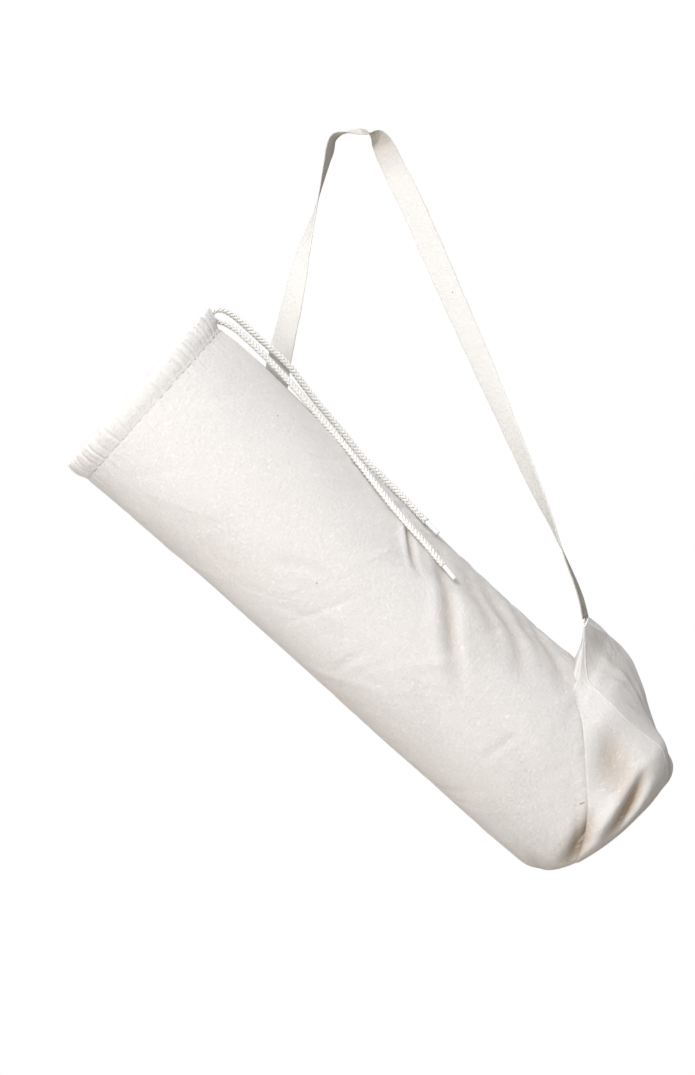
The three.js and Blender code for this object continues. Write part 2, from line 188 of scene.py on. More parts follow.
# A smooth line through points, as many metres apart as step says
def smoothLine(points, step):
    points = np.asarray(points, float)
    apart = np.sqrt(np.linalg.norm(np.diff(points, axis=0), axis=1))
    ends = np.vstack([2 * points[0] - points[1], points, 2 * points[-1] - points[-2]])
    apart = np.concatenate([[apart[0]], apart, [apart[-1]]])
    knots = np.concatenate([[0], np.cumsum(apart)])
    fine = []
    for i in range(1, len(ends) - 2):
        t = np.linspace(knots[i], knots[i + 1], 24, endpoint=False)[:, None]
        p = [ends[i - 1 + k] for k in range(4)]
        k = knots[i - 1:i + 3]
        a1 = ((k[1] - t) * p[0] + (t - k[0]) * p[1]) / (k[1] - k[0])
        a2 = ((k[2] - t) * p[1] + (t - k[1]) * p[2]) / (k[2] - k[1])
        a3 = ((k[3] - t) * p[2] + (t - k[2]) * p[3]) / (k[3] - k[2])
        b1 = ((k[2] - t) * a1 + (t - k[0]) * a2) / (k[2] - k[0])
        b2 = ((k[3] - t) * a2 + (t - k[1]) * a3) / (k[3] - k[1])
        fine.append(((k[2] - t) * b1 + (t - k[1]) * b2) / (k[2] - k[1]))
    line = np.vstack([*fine, ends[-2]])
    along = np.concatenate([[0], np.cumsum(np.linalg.norm(np.diff(line, axis=0), axis=1))])
    at = np.linspace(0, along[-1], max(2, int(round(along[-1] / step)) + 1))
    return np.stack([np.interp(at, along, line[:, k]) for k in range(line.shape[1])], 1)


# Directions across a line that turn as little as they can
def steadyFrames(line):
    run = np.gradient(line, axis=0)
    run /= np.linalg.norm(run, axis=1)[:, None]
    side = np.zeros_like(run)
    start = np.cross(run[0], (0, 0, 1.0))
    side[0] = start / np.linalg.norm(start)
    for i in range(1, len(line)):
        turned = side[i - 1] - run[i] * (side[i - 1] @ run[i])
        side[i] = turned / np.linalg.norm(turned)
    return run, side, np.cross(run, side)


def joined(parts):
    points, faces, start = [], [], 0
    for partPoints, partFaces in parts:
        flat = np.asarray(partPoints).reshape(-1, 3)
        points.append(flat)
        faces += [[int(i) + start for i in face] for face in partFaces]
        start += len(flat)
    return np.vstack(points), faces


# A closed tube of rings, with a flat cap on each end
def tubePart(rings):
    rows, columns = rings.shape[:2]
    faces = gridFaces(rows, columns, True).tolist()
    caps = [list(range(columns))[::-1], [(rows - 1) * columns + i for i in range(columns)]]
    return rings, faces + caps


# Materials. The cloth's own coordinates run along and across each piece, in metres
def shaderNode(tree, kind, settings=None, **inputs):
    node = tree.nodes.new("ShaderNode" + kind)
    for key, value in (settings or {}).items():
        setattr(node, key, value)
    for key, value in inputs.items():
        socket = node.inputs[int(key[1:])] if key[0] == "_" else node.inputs[key]
        if isinstance(value, bpy.types.NodeSocket):
            tree.links.new(value, socket)
        else:
            socket.default_value = value
    return node


def maths(tree, operation, first, second=0.0, clamp=False):
    node = shaderNode(tree, "Math", {"operation": operation, "use_clamp": clamp}, _0=first, _1=second)
    return node.outputs[0]


def newGroup(name, inputs, outputs):
    group = bpy.data.node_groups.new(name, "ShaderNodeTree")
    for label, kind, value in inputs:
        socket = group.interface.new_socket(name=label, in_out="INPUT", socket_type="NodeSocket" + kind)
        if value is not None:
            socket.default_value = value
    for label, kind in outputs:
        group.interface.new_socket(name=label, in_out="OUTPUT", socket_type="NodeSocket" + kind)
    return group, group.nodes.new("NodeGroupInput"), group.nodes.new("NodeGroupOutput")


def strandCrest(tree, across, pitch):
    turns = maths(tree, "MULTIPLY", maths(tree, "DIVIDE", across, pitch), math.pi)
    return maths(tree, "SINE", turns)


def blend(tree, share, first, second):
    node = shaderNode(tree, "Mix", {"data_type": "RGBA"}, _0=share, _6=first, _7=second)
    return node.outputs[2]


fibre = {
    "wanderScale": 90.0,      # how often threads drift aside, for each metre
    "wanderThreads": 6.0,     # how many thread pitches they drift at full unevenness
    "crestPower": 0.55,       # below 1 the crests are flat and the gaps narrow
    "slubFrom": 0.78,
    "slubSpread": 0.16,
    "slubRise": 0.09,
    "slubColour": (0.93, 0.92, 0.9, 1),
    "fleckScale": 34.0,
    "fleckRadius": 0.022,
    "fleckRarity": 0.965,
    "patchFrom": 0.42,
    "patchContrast": 3.5,
    "mottleScale": 620.0,
    "grainScale": 310.0,
}


# Plain weave: threads pass over and under each other, and the crests fade where they go under
def weaveGroup():
    group, given, made = newGroup("plainWeave",
        [("Cloth", "Vector", None), ("Thread Pitch", "Float", 0.0006), ("Unevenness", "Float", 0.25)],
        [("Height", "Float"), ("Gaps", "Float")])
    cloth, pitch = given.outputs["Cloth"], given.outputs["Thread Pitch"]
    wander = shaderNode(group, "TexNoise", {"noise_dimensions": "2D"}, Vector=cloth,
        Scale=fibre["wanderScale"])
    farthest = maths(group, "MULTIPLY", given.outputs["Unevenness"], fibre["wanderThreads"])
    drift = maths(group, "MULTIPLY", maths(group, "SUBTRACT", wander.outputs["Fac"], 0.5),
        maths(group, "MULTIPLY", pitch, farthest))
    split = shaderNode(group, "SeparateXYZ", Vector=cloth)
    warp = strandCrest(group, maths(group, "ADD", split.outputs["X"], drift), pitch)
    weft = strandCrest(group, maths(group, "SUBTRACT", split.outputs["Y"], drift), pitch)
    crest = maths(group, "MULTIPLY", warp, weft)
    height = maths(group, "POWER", maths(group, "ABSOLUTE", crest), fibre["crestPower"])
    group.links.new(height, made.inputs["Height"])
    group.links.new(maths(group, "SUBTRACT", 1.0, height), made.inputs["Gaps"])
    return group


# Slubs: thick places in single threads, and the odd darker fleck of seed husk
def slubGroup():
    group, given, made = newGroup("slubs",
        [("Cloth", "Vector", None), ("Slub Length", "Float", 0.0065), ("Slub Width", "Float", 0.0009),
         ("Amount", "Float", 0.5)],
        [("Height", "Float"), ("Fleck", "Float")])
    split = shaderNode(group, "SeparateXYZ", Vector=given.outputs["Cloth"])
    masks = []
    for first, second, shift in (("X", "Y", 0.0), ("Y", "X", 7.3)):
        along = maths(group, "DIVIDE", split.outputs[first], given.outputs["Slub Length"])
        across = maths(group, "DIVIDE", split.outputs[second], given.outputs["Slub Width"])
        place = shaderNode(group, "CombineXYZ", X=along, Y=across, Z=shift)
        noise = shaderNode(group, "TexNoise", None, Vector=place.outputs["Vector"], Scale=1.0, Detail=1.0)
        spread = maths(group, "MULTIPLY", given.outputs["Amount"], fibre["slubSpread"])
        low = maths(group, "SUBTRACT", fibre["slubFrom"], spread)
        rise = maths(group, "DIVIDE", maths(group, "SUBTRACT", noise.outputs["Fac"], low), fibre["slubRise"])
        masks.append(maths(group, "MAXIMUM", maths(group, "MINIMUM", rise, 1.0), 0.0))
    group.links.new(maths(group, "MAXIMUM", masks[0], masks[1]), made.inputs["Height"])
    spots = shaderNode(group, "TexVoronoi", {"voronoi_dimensions": "2D"}, Vector=given.outputs["Cloth"],
        Scale=fibre["fleckScale"])
    near = maths(group, "LESS_THAN", spots.outputs["Distance"], fibre["fleckRadius"])
    chosen = shaderNode(group, "SeparateColor", Color=spots.outputs["Color"])
    rare = maths(group, "GREATER_THAN", chosen.outputs["Red"], fibre["fleckRarity"])
    group.links.new(maths(group, "MULTIPLY", near, rare), made.inputs["Fleck"])
    return group


# Handling: broad soft patches where the cloth is a little creamier or greyer
def handlingGroup():
    group, given, made = newGroup("handling",
        [("Place", "Vector", None), ("Clean", "Color", (0.8, 0.77, 0.74, 1)),
         ("Cream", "Color", (0.76, 0.71, 0.64, 1)), ("Amount", "Float", 0.4), ("Patch Size", "Float", 0.12)],
        [("Color", "Color"), ("Patches", "Float")])
    scaled = shaderNode(group, "VectorMath", {"operation": "DIVIDE"}, _0=given.outputs["Place"])
    size = shaderNode(group, "CombineXYZ", X=given.outputs["Patch Size"], Y=given.outputs["Patch Size"],
        Z=given.outputs["Patch Size"])
    group.links.new(size.outputs["Vector"], scaled.inputs[1])
    noise = shaderNode(group, "TexNoise", None, Vector=scaled.outputs["Vector"], Scale=1.0, Detail=4.0)
    above = maths(group, "SUBTRACT", noise.outputs["Fac"], fibre["patchFrom"])
    patches = maths(group, "MULTIPLY", above, fibre["patchContrast"], True)
    share = maths(group, "MULTIPLY", patches, given.outputs["Amount"])
    group.links.new(blend(group, share, given.outputs["Clean"], given.outputs["Cream"]), made.inputs["Color"])
    group.links.new(patches, made.inputs["Patches"])
    return group


weave, slubs, handling = weaveGroup(), slubGroup(), handlingGroup()


def placed(tree, group, **inputs):
    node = tree.nodes.new("ShaderNodeGroup")
    node.node_tree = group
    for key, value in inputs.items():
        socket = node.inputs[key.replace("_", " ")]
        if isinstance(value, bpy.types.NodeSocket):
            tree.links.new(value, socket)
        else:
            socket.default_value = value
    return node


canvasLook = {
    "clean": (0.80, 0.776, 0.766, 1),
    "cream": (0.775, 0.735, 0.69, 1),
    "husk": (0.33, 0.27, 0.2, 1),
    # warm brown of the painted shade in folds and on the strap's shaded parts
    "paintedShadeColour": (0.5, 0.4, 0.31, 1),
    # painted shade between the threads of the weave
    "gapShade": (0.55, 0.515, 0.47, 1),
    "gapShare": 1.1,
    "threadPitch": 0.00062,
    "weaveDepth": 0.0002,
    "slubDepth": 0.00014,
    "grainDepth": 0.0005,
    "slubAmount": 0.8,
    "slubLight": 0.85,
    "handling": 0.35,
    "roughness": 0.93,
    "sheen": 0.12,
}


def clothMaterial(name, look):
    material = bpy.data.materials.new(name)
    material.use_nodes = True
    tree = material.node_tree
    surface = tree.nodes["Principled BSDF"]
    cloth = shaderNode(tree, "UVMap", {"uv_map": "cloth"}).outputs["UV"]
    place = shaderNode(tree, "TexCoord").outputs["Object"]
    threads = placed(tree, weave, Cloth=cloth, Thread_Pitch=look["threadPitch"], Unevenness=0.25)
    thick = placed(tree, slubs, Cloth=cloth, Amount=look["slubAmount"])
    worn = placed(tree, handling, Place=place, Clean=look["clean"], Cream=look["cream"],
        Amount=look["handling"])
    mottle = shaderNode(tree, "TexNoise", {"noise_dimensions": "2D"}, Vector=cloth,
        Scale=fibre["mottleScale"], Detail=3.0)
    # Painted shade: the gaps between threads are drawn towards the darker gap colour, more where the mottle
    # noise is high
    openness = maths(tree, "MULTIPLY", mottle.outputs["Fac"], look["gapShare"])
    gaps = maths(tree, "MULTIPLY", threads.outputs["Gaps"], openness)
    colour = blend(tree, gaps, worn.outputs["Color"], look["gapShade"])
    # Painted shade: the colour is drawn towards a warm brown by the shade attribute, in the folds of the bag
    # and on the shaded parts of the strap
    paintedShade = shaderNode(tree, "Attribute", {"attribute_name": "paintedShade"}).outputs["Fac"]
    colour = blend(tree, paintedShade, colour, look["paintedShadeColour"])
    light = maths(tree, "MULTIPLY", thick.outputs["Height"], look["slubLight"])
    colour = blend(tree, light, colour, fibre["slubColour"])
    colour = blend(tree, thick.outputs["Fleck"], colour, look["husk"])
    tree.links.new(colour, surface.inputs["Base Color"])
    grain = shaderNode(tree, "TexNoise", None, Vector=place, Scale=fibre["grainScale"], Detail=3.0)
    normal = None
    for height, depth in (
            (threads.outputs["Height"], look["weaveDepth"]), (thick.outputs["Height"], look["slubDepth"]),
            (grain.outputs["Fac"], look["grainDepth"])):
        bump = shaderNode(tree, "Bump", None, Height=height, Distance=depth, Strength=1.0)
        if normal is not None:
            tree.links.new(normal, bump.inputs["Normal"])
        normal = bump.outputs["Normal"]
    tree.links.new(normal, surface.inputs["Normal"])
    surface.inputs["Roughness"].default_value = look["roughness"]
    surface.inputs["Specular IOR Level"].default_value = 0.2
    surface.inputs["Sheen Weight"].default_value = look["sheen"]
    surface.inputs["Sheen Roughness"].default_value = 0.5
    return material


canvas = clothMaterial("naturalCanvas", canvasLook)
hemCanvas = clothMaterial("hemCanvas", {**canvasLook, "clean": (0.81, 0.788, 0.775, 1), "handling": 0.25})
# the tape's painted shade is a greyer brown than the canvas's
tape = clothMaterial("wovenTape", {**canvasLook, "clean": (0.705, 0.69, 0.665, 1),
    "cream": (0.68, 0.65, 0.61, 1), "paintedShadeColour": (0.42, 0.375, 0.325, 1), "threadPitch": 0.0008,
    "slubAmount": 0.25, "gapShare": 0.5, "handling": 0.45})
cotton = clothMaterial("cottonBraid", {**canvasLook, "clean": (0.86, 0.845, 0.82, 1), "threadPitch": 0.0003,
    "weaveDepth": 0.00005, "slubAmount": 0.0, "handling": 0.2})
# A darker brown copy of the cotton for the cord's core: painted shade, so that the gaps between the strands
# look dark
cottonShade = clothMaterial("cottonBraidShade", {**canvasLook, "clean": (0.5, 0.42, 0.33, 1),
    "cream": (0.42, 0.34, 0.26, 1), "threadPitch": 0.0003, "slubAmount": 0.0, "sheen": 0.0})
thread = clothMaterial("sewingThread", {**canvasLook, "clean": (0.84, 0.82, 0.79, 1), "threadPitch": 0.0002,
    "weaveDepth": 0.00003, "slubAmount": 0.0, "handling": 0.0})


def plasticMaterial(name, colour, roughness):
    material = bpy.data.materials.new(name)
    material.use_nodes = True
    tree = material.node_tree
    surface = tree.nodes["Principled BSDF"]
    place = shaderNode(tree, "TexCoord").outputs["Object"]
    noise = shaderNode(tree, "TexNoise", None, Vector=place, Scale=900.0, Detail=3.0)
    darker = (*(0.9 * c for c in colour[:3]), 1)
    tree.links.new(blend(tree, noise.outputs["Fac"], colour, darker), surface.inputs["Base Color"])
    bump = shaderNode(tree, "Bump", None, Height=noise.outputs["Fac"], Distance=0.00004)
    tree.links.new(bump.outputs["Normal"], surface.inputs["Normal"])
    surface.inputs["Roughness"].default_value = roughness
    return material


tipPlastic = plasticMaterial("tipPlastic", (0.86, 0.86, 0.85, 1), 0.35)
print("materials ready")

# Drawcord tails, from the slit to the plastic tips
drawcord = {
    "diameter": 0.006,
    "carriers": 4,            # strands that turn each way, a multiple of four
    "turnLength": 0.0150,
    "strandHeight": 0.0012,
    "strandWidth": 0.0023,
    "weaveHeight": 0.00035,
    "step": 0.0005,
    "strandSides": 8,
    "coreSides": 8,
    "coreEvery": 6,           # the core has a ring at each sixth point of the line
}
longTail = [
    (-0.1322, -0.0201, -0.1667), (-0.1319, -0.0166, -0.1662), (-0.1298, -0.0132, -0.1656),
    (-0.1253, -0.0116, -0.1662), (-0.1188, -0.0114, -0.1682), (-0.1096, -0.0116, -0.1734),
    (-0.0991, -0.0120, -0.1825), (-0.0853, -0.0130, -0.1956), (-0.0734, -0.0148, -0.2079),
    (-0.0622, -0.0172, -0.2204), (-0.0492, -0.0202, -0.2358), (-0.0384, -0.0233, -0.2490),
    (-0.0281, -0.0274, -0.2610), (-0.0177, -0.0334, -0.2740), (-0.0074, -0.0399, -0.2879),
    (0.0039, -0.0460, -0.3034), (0.0152, -0.0512, -0.3188), (0.0267, -0.0546, -0.3333),
    (0.0360, -0.0564, -0.3443), (0.0454, -0.0570, -0.3544), (0.0549, -0.0571, -0.3655),
    (0.0635, -0.0569, -0.3757),
]
shortTail = [
    (-0.1307, 0.0049, -0.1649), (-0.1309, 0.0021, -0.1636), (-0.1306, -0.0006, -0.1606),
    (-0.1286, -0.0024, -0.1574), (-0.1250, -0.0030, -0.1557), (-0.1196, -0.0030, -0.1560),
    (-0.1118, -0.0029, -0.1600), (-0.1028, -0.0024, -0.1671), (-0.0926, -0.0020, -0.1762),
    (-0.0794, -0.0017, -0.1880), (-0.0680, -0.0015, -0.1982), (-0.0590, -0.0016, -0.2078),
    (-0.0510, -0.0019, -0.2184), (-0.0399, -0.0022, -0.2328), (-0.0276, -0.0027, -0.2473),
    (-0.0156, -0.0038, -0.2614), (-0.0032, -0.0058, -0.2773), (0.0050, -0.0081, -0.2870),
    (0.0137, -0.0111, -0.2957), (0.0224, -0.0141, -0.3046), (0.0307, -0.0176, -0.3131),
    (0.0384, -0.0217, -0.3218), (0.0461, -0.0256, -0.3306), (0.0533, -0.0287, -0.3385),
]


# One strand winds round the cord, over two of the strands that it meets and under the next two
def braidStrand(line, run, side, lift, phase, way):
    step = np.linalg.norm(np.diff(line, axis=0), axis=1)
    along = np.concatenate([[0], np.cumsum(step)])
    turn = phase + way * 2 * math.pi * along / drawcord["turnLength"]
    weaving = way * np.clip(1.42 * np.cos(drawcord["carriers"] / 2 * turn + math.pi / 4), -1, 1)
    middle = drawcord["diameter"] / 2 - drawcord["strandHeight"] / 2 - drawcord["weaveHeight"]
    radius = middle + drawcord["weaveHeight"] * weaving
    out = np.cos(turn)[:, None] * side + np.sin(turn)[:, None] * lift
    around = -np.sin(turn)[:, None] * side + np.cos(turn)[:, None] * lift
    centre = line + radius[:, None] * out
    slope = way * 2 * math.pi * middle / drawcord["turnLength"]
    across = (around - slope * run) / math.hypot(1, slope)
    rings = []
    for k in range(drawcord["strandSides"]):
        angle = 2 * math.pi * k / drawcord["strandSides"]
        rings.append(centre + across * (drawcord["strandWidth"] / 2 * math.cos(angle))
            + out * (drawcord["strandHeight"] / 2 * math.sin(angle)))
    return np.stack(rings, 1)


def ribbonCloth(rows, columns, length, width):
    u = np.linspace(0, length, rows)[:, None] * np.ones((1, columns + 1))
    v = np.linspace(0, width, columns + 1)[None, :] * np.ones((rows, 1))
    return gridCloth(u, v)


def braidedTail(name, route, node):
    line = smoothLine(route, drawcord["step"])
    run, side, lift = steadyFrames(line)
    parts, cloth = [], []
    for way in (1, -1):
        for k in range(drawcord["carriers"]):
            phase = 2 * math.pi * k / drawcord["carriers"]
            rings = braidStrand(line, run, side, lift, phase, way)
            parts.append(tubePart(rings))
            cloth.append(ribbonCloth(len(line), rings.shape[1], len(line) * drawcord["step"], 0.003))
            cloth.append(np.zeros((2 * rings.shape[1], 2)))
    core = drawcord["diameter"] / 2 - drawcord["strandHeight"] - drawcord["weaveHeight"] * 2
    around = np.linspace(0, 2 * math.pi, drawcord["coreSides"], endpoint=False)
    thinned = slice(None, None, drawcord["coreEvery"])
    circle = [line[thinned] + core * (math.cos(a) * side[thinned] + math.sin(a) * lift[thinned])
        for a in around]
    rings = np.stack(circle, 1)
    parts.append(tubePart(rings))
    cloth.append(ribbonCloth(len(rings), drawcord["coreSides"], 0.3, 0.01))
    cloth.append(np.zeros((2 * drawcord["coreSides"], 2)))
    points, faces = joined(parts)
    tail = meshPiece(name, points, faces, cotton, np.vstack(cloth))
    # the core takes the darker copy, which is painted shade between the strands
    tail.data.materials.append(cottonShade)
    inside = len(faces) - len(parts[-1][1])
    for polygon in list(tail.data.polygons)[inside:]:
        polygon.material_index = 1
    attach(tail, "root")
    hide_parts(node)
    return tail, line


cordTip = {
    "diameter": 0.0044,
    "length": 0.015,
    "wall": 0.0007,
    "clear": 0.0003,
    "bore": 0.0042,
    "sides": 28,
    "edge": 0.00025,
}


# A short plastic tube pushed over the cord's end, with rounded rims and a hollow far end
def plasticTip(name, line, node):
    run = line[-1] - line[-3]
    run = run / np.linalg.norm(run)
    across = np.cross(run, (0, 0, 1.0))
    across = across / np.linalg.norm(across)
    lift = np.cross(run, across)
    r, end, e = cordTip["diameter"] / 2, cordTip["length"], cordTip["edge"]
    inner = r - cordTip["wall"]
    profile = [(0.0001, 0), (r * 0.7, 0), (r - e, 0), (r - e * 0.3, e * 0.3), (r, e), (r * 0.97, end * 0.2),
        (r * 0.96, end * 0.5), (r * 0.98, end * 0.8), (r, end - e), (r - e * 0.3, end - e * 0.3),
        (r - e, end), (inner + e * 0.5, end), (inner, end - e), (inner, end - cordTip["bore"] * 0.5),
        (inner * 0.98, end - cordTip["bore"]), (0.0001, end - cordTip["bore"] * 1.05)]
    start = line[-1] + run * cordTip["clear"]
    around = np.linspace(0, 2 * math.pi, cordTip["sides"], endpoint=False)
    rings = np.array([[start + run * h + radius * (math.cos(a) * across + math.sin(a) * lift) for a in around]
        for radius, h in profile])
    points, faces = joined([tubePart(rings)])
    tip = meshPiece(name, points, faces, tipPlastic)
    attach(tip, "root")
    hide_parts(node)
    return tip


def lineLength(line):
    return float(np.linalg.norm(np.diff(line, axis=0), axis=1).sum())


for tailName, route, node, tipNode in (
        ("drawcordLong", longTail, "drawcord_tail_long", "cord_tip_long"),
        ("drawcordShort", shortTail, "drawcord_tail_short", "cord_tip_short")):
    tail, line = braidedTail(tailName, route, node)
    tip = plasticTip(tailName + "Tip", line, tipNode)
    print(tailName, "length", round(lineLength(line), 4))

# Bag body: the same sections as the frame's solid, drawn finely, with folds pressed into the cloth
bag = {
    "radius": 0.084,
    "length": 0.574,
    "tilt": 41.6,             # degrees that the bag's own direction dips below level
    "mouth": (-0.1948, 0.0, -0.2239),
    "wall": 0.0012,
    "cornerHalf": 0.011,      # half the blunt top of the pulled-up corner
    "cornerLayers": 2.5,
    "bunchLift": 0.0026,      # cloth bunched up below the slit, and where along the bag
    "bunchAlong": 0.15,
    "bunchLength": 0.12,
    "tipRow": 8,              # the row of bagSections where the corner's tip lies
    "innerInset": 0.007,      # deep inside, where the wall's thickness is never seen
    # painted shade: a fold this deep gets the full warm brown painted into the cloth at its bottom
    "paintedShadeFullDepth": 0.0066,     # depth of a fold whose bottom has the full warm shade
    "innerLean": 0.55,
    "waveHeight": 0.0007,
    "capReach": 0.010,        # from the last ring to the middle of the closed end
    "hemDepth": 0.021,
    "tuckDepth": 0.0176,
    "tuckIn": 0.0024,         # how much narrower the cloth is between the hem's two layers
    "ringStep": 0.0023,
    "flapColumns": 66,
    "tuckColumns": 24,
    "restColumns": 200,
    "tuckSpan": 9.0,          # degrees of cloth that go into the fold's edge
    "tuckBack": 0.006,        # how far the cloth runs back under the fold's edge
}
tilt = math.radians(bag["tilt"])
axisWay = np.array([math.cos(tilt), 0, -math.sin(tilt)])
upWay = np.array([math.sin(tilt), 0, math.cos(tilt)])
nearWay = np.array([0, -1.0, 0])
mouthCentre = np.array(bag["mouth"])


# A point at a distance along the bag and away from its axis, turned from the top to the near side
def onBag(along, reach, turn, drop=0.0):
    along, reach, turn, drop = np.broadcast_arrays(along, reach, np.radians(turn), drop)
    return (mouthCentre + along[..., None] * axisWay + (reach * np.cos(turn) - drop)[..., None] * upWay
        + (reach * np.sin(turn))[..., None] * nearWay)


# along is a share of the bag's length, turns are degrees from the top to the near side, and the rest are
# shares of its radius
sectionColumns = ["along", "round", "drop", "ridge", "ridgeTurn", "lean", "foldTurn", "lip", "slant"]
bagSections = [
    (0.031, 1.024, 0, 0, 20, 0, 70, 0, 0),
    (0.11, 1.014, 0, 0, 20, 0, 70, 0, 0),
    (0.245, 0.998, 0, 0, 20, 0, 70, 0, 0),
    (0.38, 0.985, 0.015, 0, 20, 0, 60, 0, 0),
    (0.505, 0.977, 0.032, 0, 20, 0, 55, 0, 0),
    (0.69, 0.975, 0.036, 0, 22, 0, 50, 0, 0),
    (0.762, 0.978, 0.035, 0, 24, 0, 47, 0, 0),
    (0.782, 0.979, 0.035, 0, 25, 0, 47, 0, 0),
    (0.787, 0.98, 0.035, 1.43, 25, 0.393, 48, 0.0, 0),
    (0.795, 0.981, 0.034, 1.42, 18, 0.28, 52, 0.004, 0),
    (0.808, 0.982, 0.033, 1.41, 9, 0.18, 58, 0.018, 0),
    (0.833, 0.984, 0.031, 1.38, 3, 0.09, 70, 0.042, 0),
    (0.862, 0.987, 0.03, 1.32, 1, 0.05, 82, 0.05, 0),
    (0.888, 0.988, 0.028, 1.22, 1, 0, 92, 0.055, 0.02),
    (0.914, 0.986, 0.026, 1.11, 4, 0, 102, 0.07, 0.04),
    (0.936, 0.972, 0.024, 1.0, 10, 0, 113, 0.1, 0.05),
    (0.954, 0.94, 0.02, 0.94, 16, 0, 124, 0.11, 0.07),
    (0.969, 0.87, 0.015, 0.89, 20, 0, 134, 0.08, 0.1),
    (0.98, 0.755, 0.01, 0.83, 22, 0, 140, 0.02, 0.11),
    (0.987, 0.58, 0, 0.7, 22, 0, 140, 0, 0.11),
    (0.991, 0.34, 0, 0.4, 22, 0, 140, 0, 0.11),
    (0.993, 0.12, 0, 0, 22, 0, 140, 0, 0.11),
]


def sectionKnots():
    rows = np.array(bagSections, float)
    rows[:, 3] = np.maximum(rows[:, 3], rows[:, 1])
    along = np.diff(rows[:, 0]) * bag["length"]
    rise = np.diff(rows[:, 1]) * bag["radius"]
    corner = np.diff(rows[:, 3] - rows[:, 1]) * bag["radius"]
    return rows, np.concatenate([[0], np.cumsum(np.sqrt(along ** 2 + rise ** 2 + (0.8 * corner) ** 2))])


sectionRows, sectionPlaces = sectionKnots()


def sectionAt(places):
    values = smoothRows(sectionPlaces, sectionRows, places)
    return {name: values[:, i:i + 1] for i, name in enumerate(sectionColumns)}


def placesAlong(shares):
    return np.interp(shares, sectionRows[:, 0], sectionPlaces)


# Soft dents, the same as in the solid but for the last, which flattens the corner's back:
# along, turn, length, breadth, depth, and slant in degrees from the bag's direction
softDents = [
    (0.5, 50, 0.1, 0.16, -0.03, -22),
    (0.56, 40, 0.12, 0.14, -0.028, -28),
    (0.66, 32, 0.14, 0.15, -0.036, -18),
    (0.72, 58, 0.13, 0.17, -0.034, -26),
    (0.68, 128, 0.1, 0.15, -0.024, 30),
    (0.83, 112, 0.1, 0.18, -0.026, 24),
    (0.62, -60, 0.16, 0.2, -0.03, 20),
    (0.74, -35, 0.14, 0.16, -0.034, 14),
    (0.8, -95, 0.13, 0.2, -0.03, 34),
    (0.915, 8, 0.045, 0.5, -0.085, 0),
]

# Sharper folds: depth and width in metres, how much the cloth beside them rises, then the fold's line as
# along and turn
sharpFolds = [
    (0.0030, 0.0034, 0.8, [(0.405, 24), (0.43, 35), (0.448, 45), (0.472, 54), (0.5, 62)]),
    (0.0010, 0.0040, 0.4, [(0.402, 32), (0.436, 38), (0.47, 42)]),
    (0.0026, 0.0070, 0.9, [(0.475, 25), (0.52, 45), (0.553, 62), (0.6, 82), (0.66, 102)]),
    (0.0017, 0.0080, 0.6, [(0.53, 22), (0.565, 33), (0.597, 43), (0.632, 54), (0.672, 66)]),
    (0.0020, 0.0085, 0.6, [(0.56, 14), (0.6, 28), (0.64, 38), (0.68, 52), (0.72, 70)]),
    (0.0014, 0.0070, 0.6, [(0.625, 6), (0.664, 24), (0.705, 41), (0.745, 54)]),
    (0.0020, 0.0080, 0.7, [(0.665, 8), (0.715, 30), (0.75, 42), (0.782, 54)]),
    (0.0006, 0.0040, 0.6, [(0.495, 150), (0.5, 130), (0.512, 112)]),
    (0.0006, 0.0038, 0.6, [(0.742, 124), (0.748, 107), (0.756, 92)]),
    (0.0007, 0.0050, 0.5, [(0.3, 120), (0.36, 104), (0.42, 96)]),
    (0.0014, 0.0080, 0.6, [(0.56, -20), (0.63, -38), (0.7, -60), (0.76, -84)]),
    (0.0016, 0.0085, 0.6, [(0.64, -12), (0.7, -28), (0.76, -44), (0.82, -70)]),
    (0.0012, 0.0070, 0.6, [(0.7, -110), (0.76, -130), (0.83, -146)]),
    (0.0010, 0.0070, 0.6, [(0.34, -40), (0.42, -58), (0.5, -70)]),
]

# Folds of the pulled-up corner and the closed end
cornerFolds = [
    (0.0003, 0.0040, 0.5, [(0.792, 30), (0.815, 31), (0.84, 29), (0.865, 28)]),
    (0.0004, 0.0040, 0.5, [(0.8, 20), (0.83, 18), (0.86, 18), (0.885, 22)]),
    (0.0016, 0.0027, 0.9, [(0.793, 25), (0.8, 22.5), (0.81, 22), (0.82, 21.5), (0.835, 19.5), (0.85, 18.5),
        (0.87, 18), (0.89, 19), (0.91, 19.5), (0.927, 22)]),
    (0.0008, 0.0021, 0.8, [(0.803, 30), (0.82, 28.5), (0.84, 26), (0.862, 24), (0.882, 24)]),
    (0.0007, 0.0020, 0.7, [(0.85, 34), (0.88, 30), (0.905, 26)]),
    (0.0040, 0.0130, 0.2, [(0.85, 54), (0.873, 63), (0.9, 76), (0.925, 88)]),
    (0.0100, 0.0052, 0.7, [(0.93, 60), (0.944, 76), (0.953, 90), (0.963, 110)]),
    (0.0020, 0.0060, 0.5, [(0.9, 60), (0.925, 78), (0.942, 98)]),
    (0.0085, 0.0068, 0.1, [(0.905, 98), (0.923, 106), (0.937, 116), (0.95, 129), (0.965, 148)]),
    (0.0018, 0.0080, 0.5, [(0.83, -20), (0.87, -40), (0.91, -70)]),
    (0.0016, 0.0070, 0.5, [(0.88, -60), (0.92, -90), (0.95, -120)]),
    (0.0016, 0.0070, 0.5, [(0.9, 150), (0.94, 165), (0.965, 190)]),
]

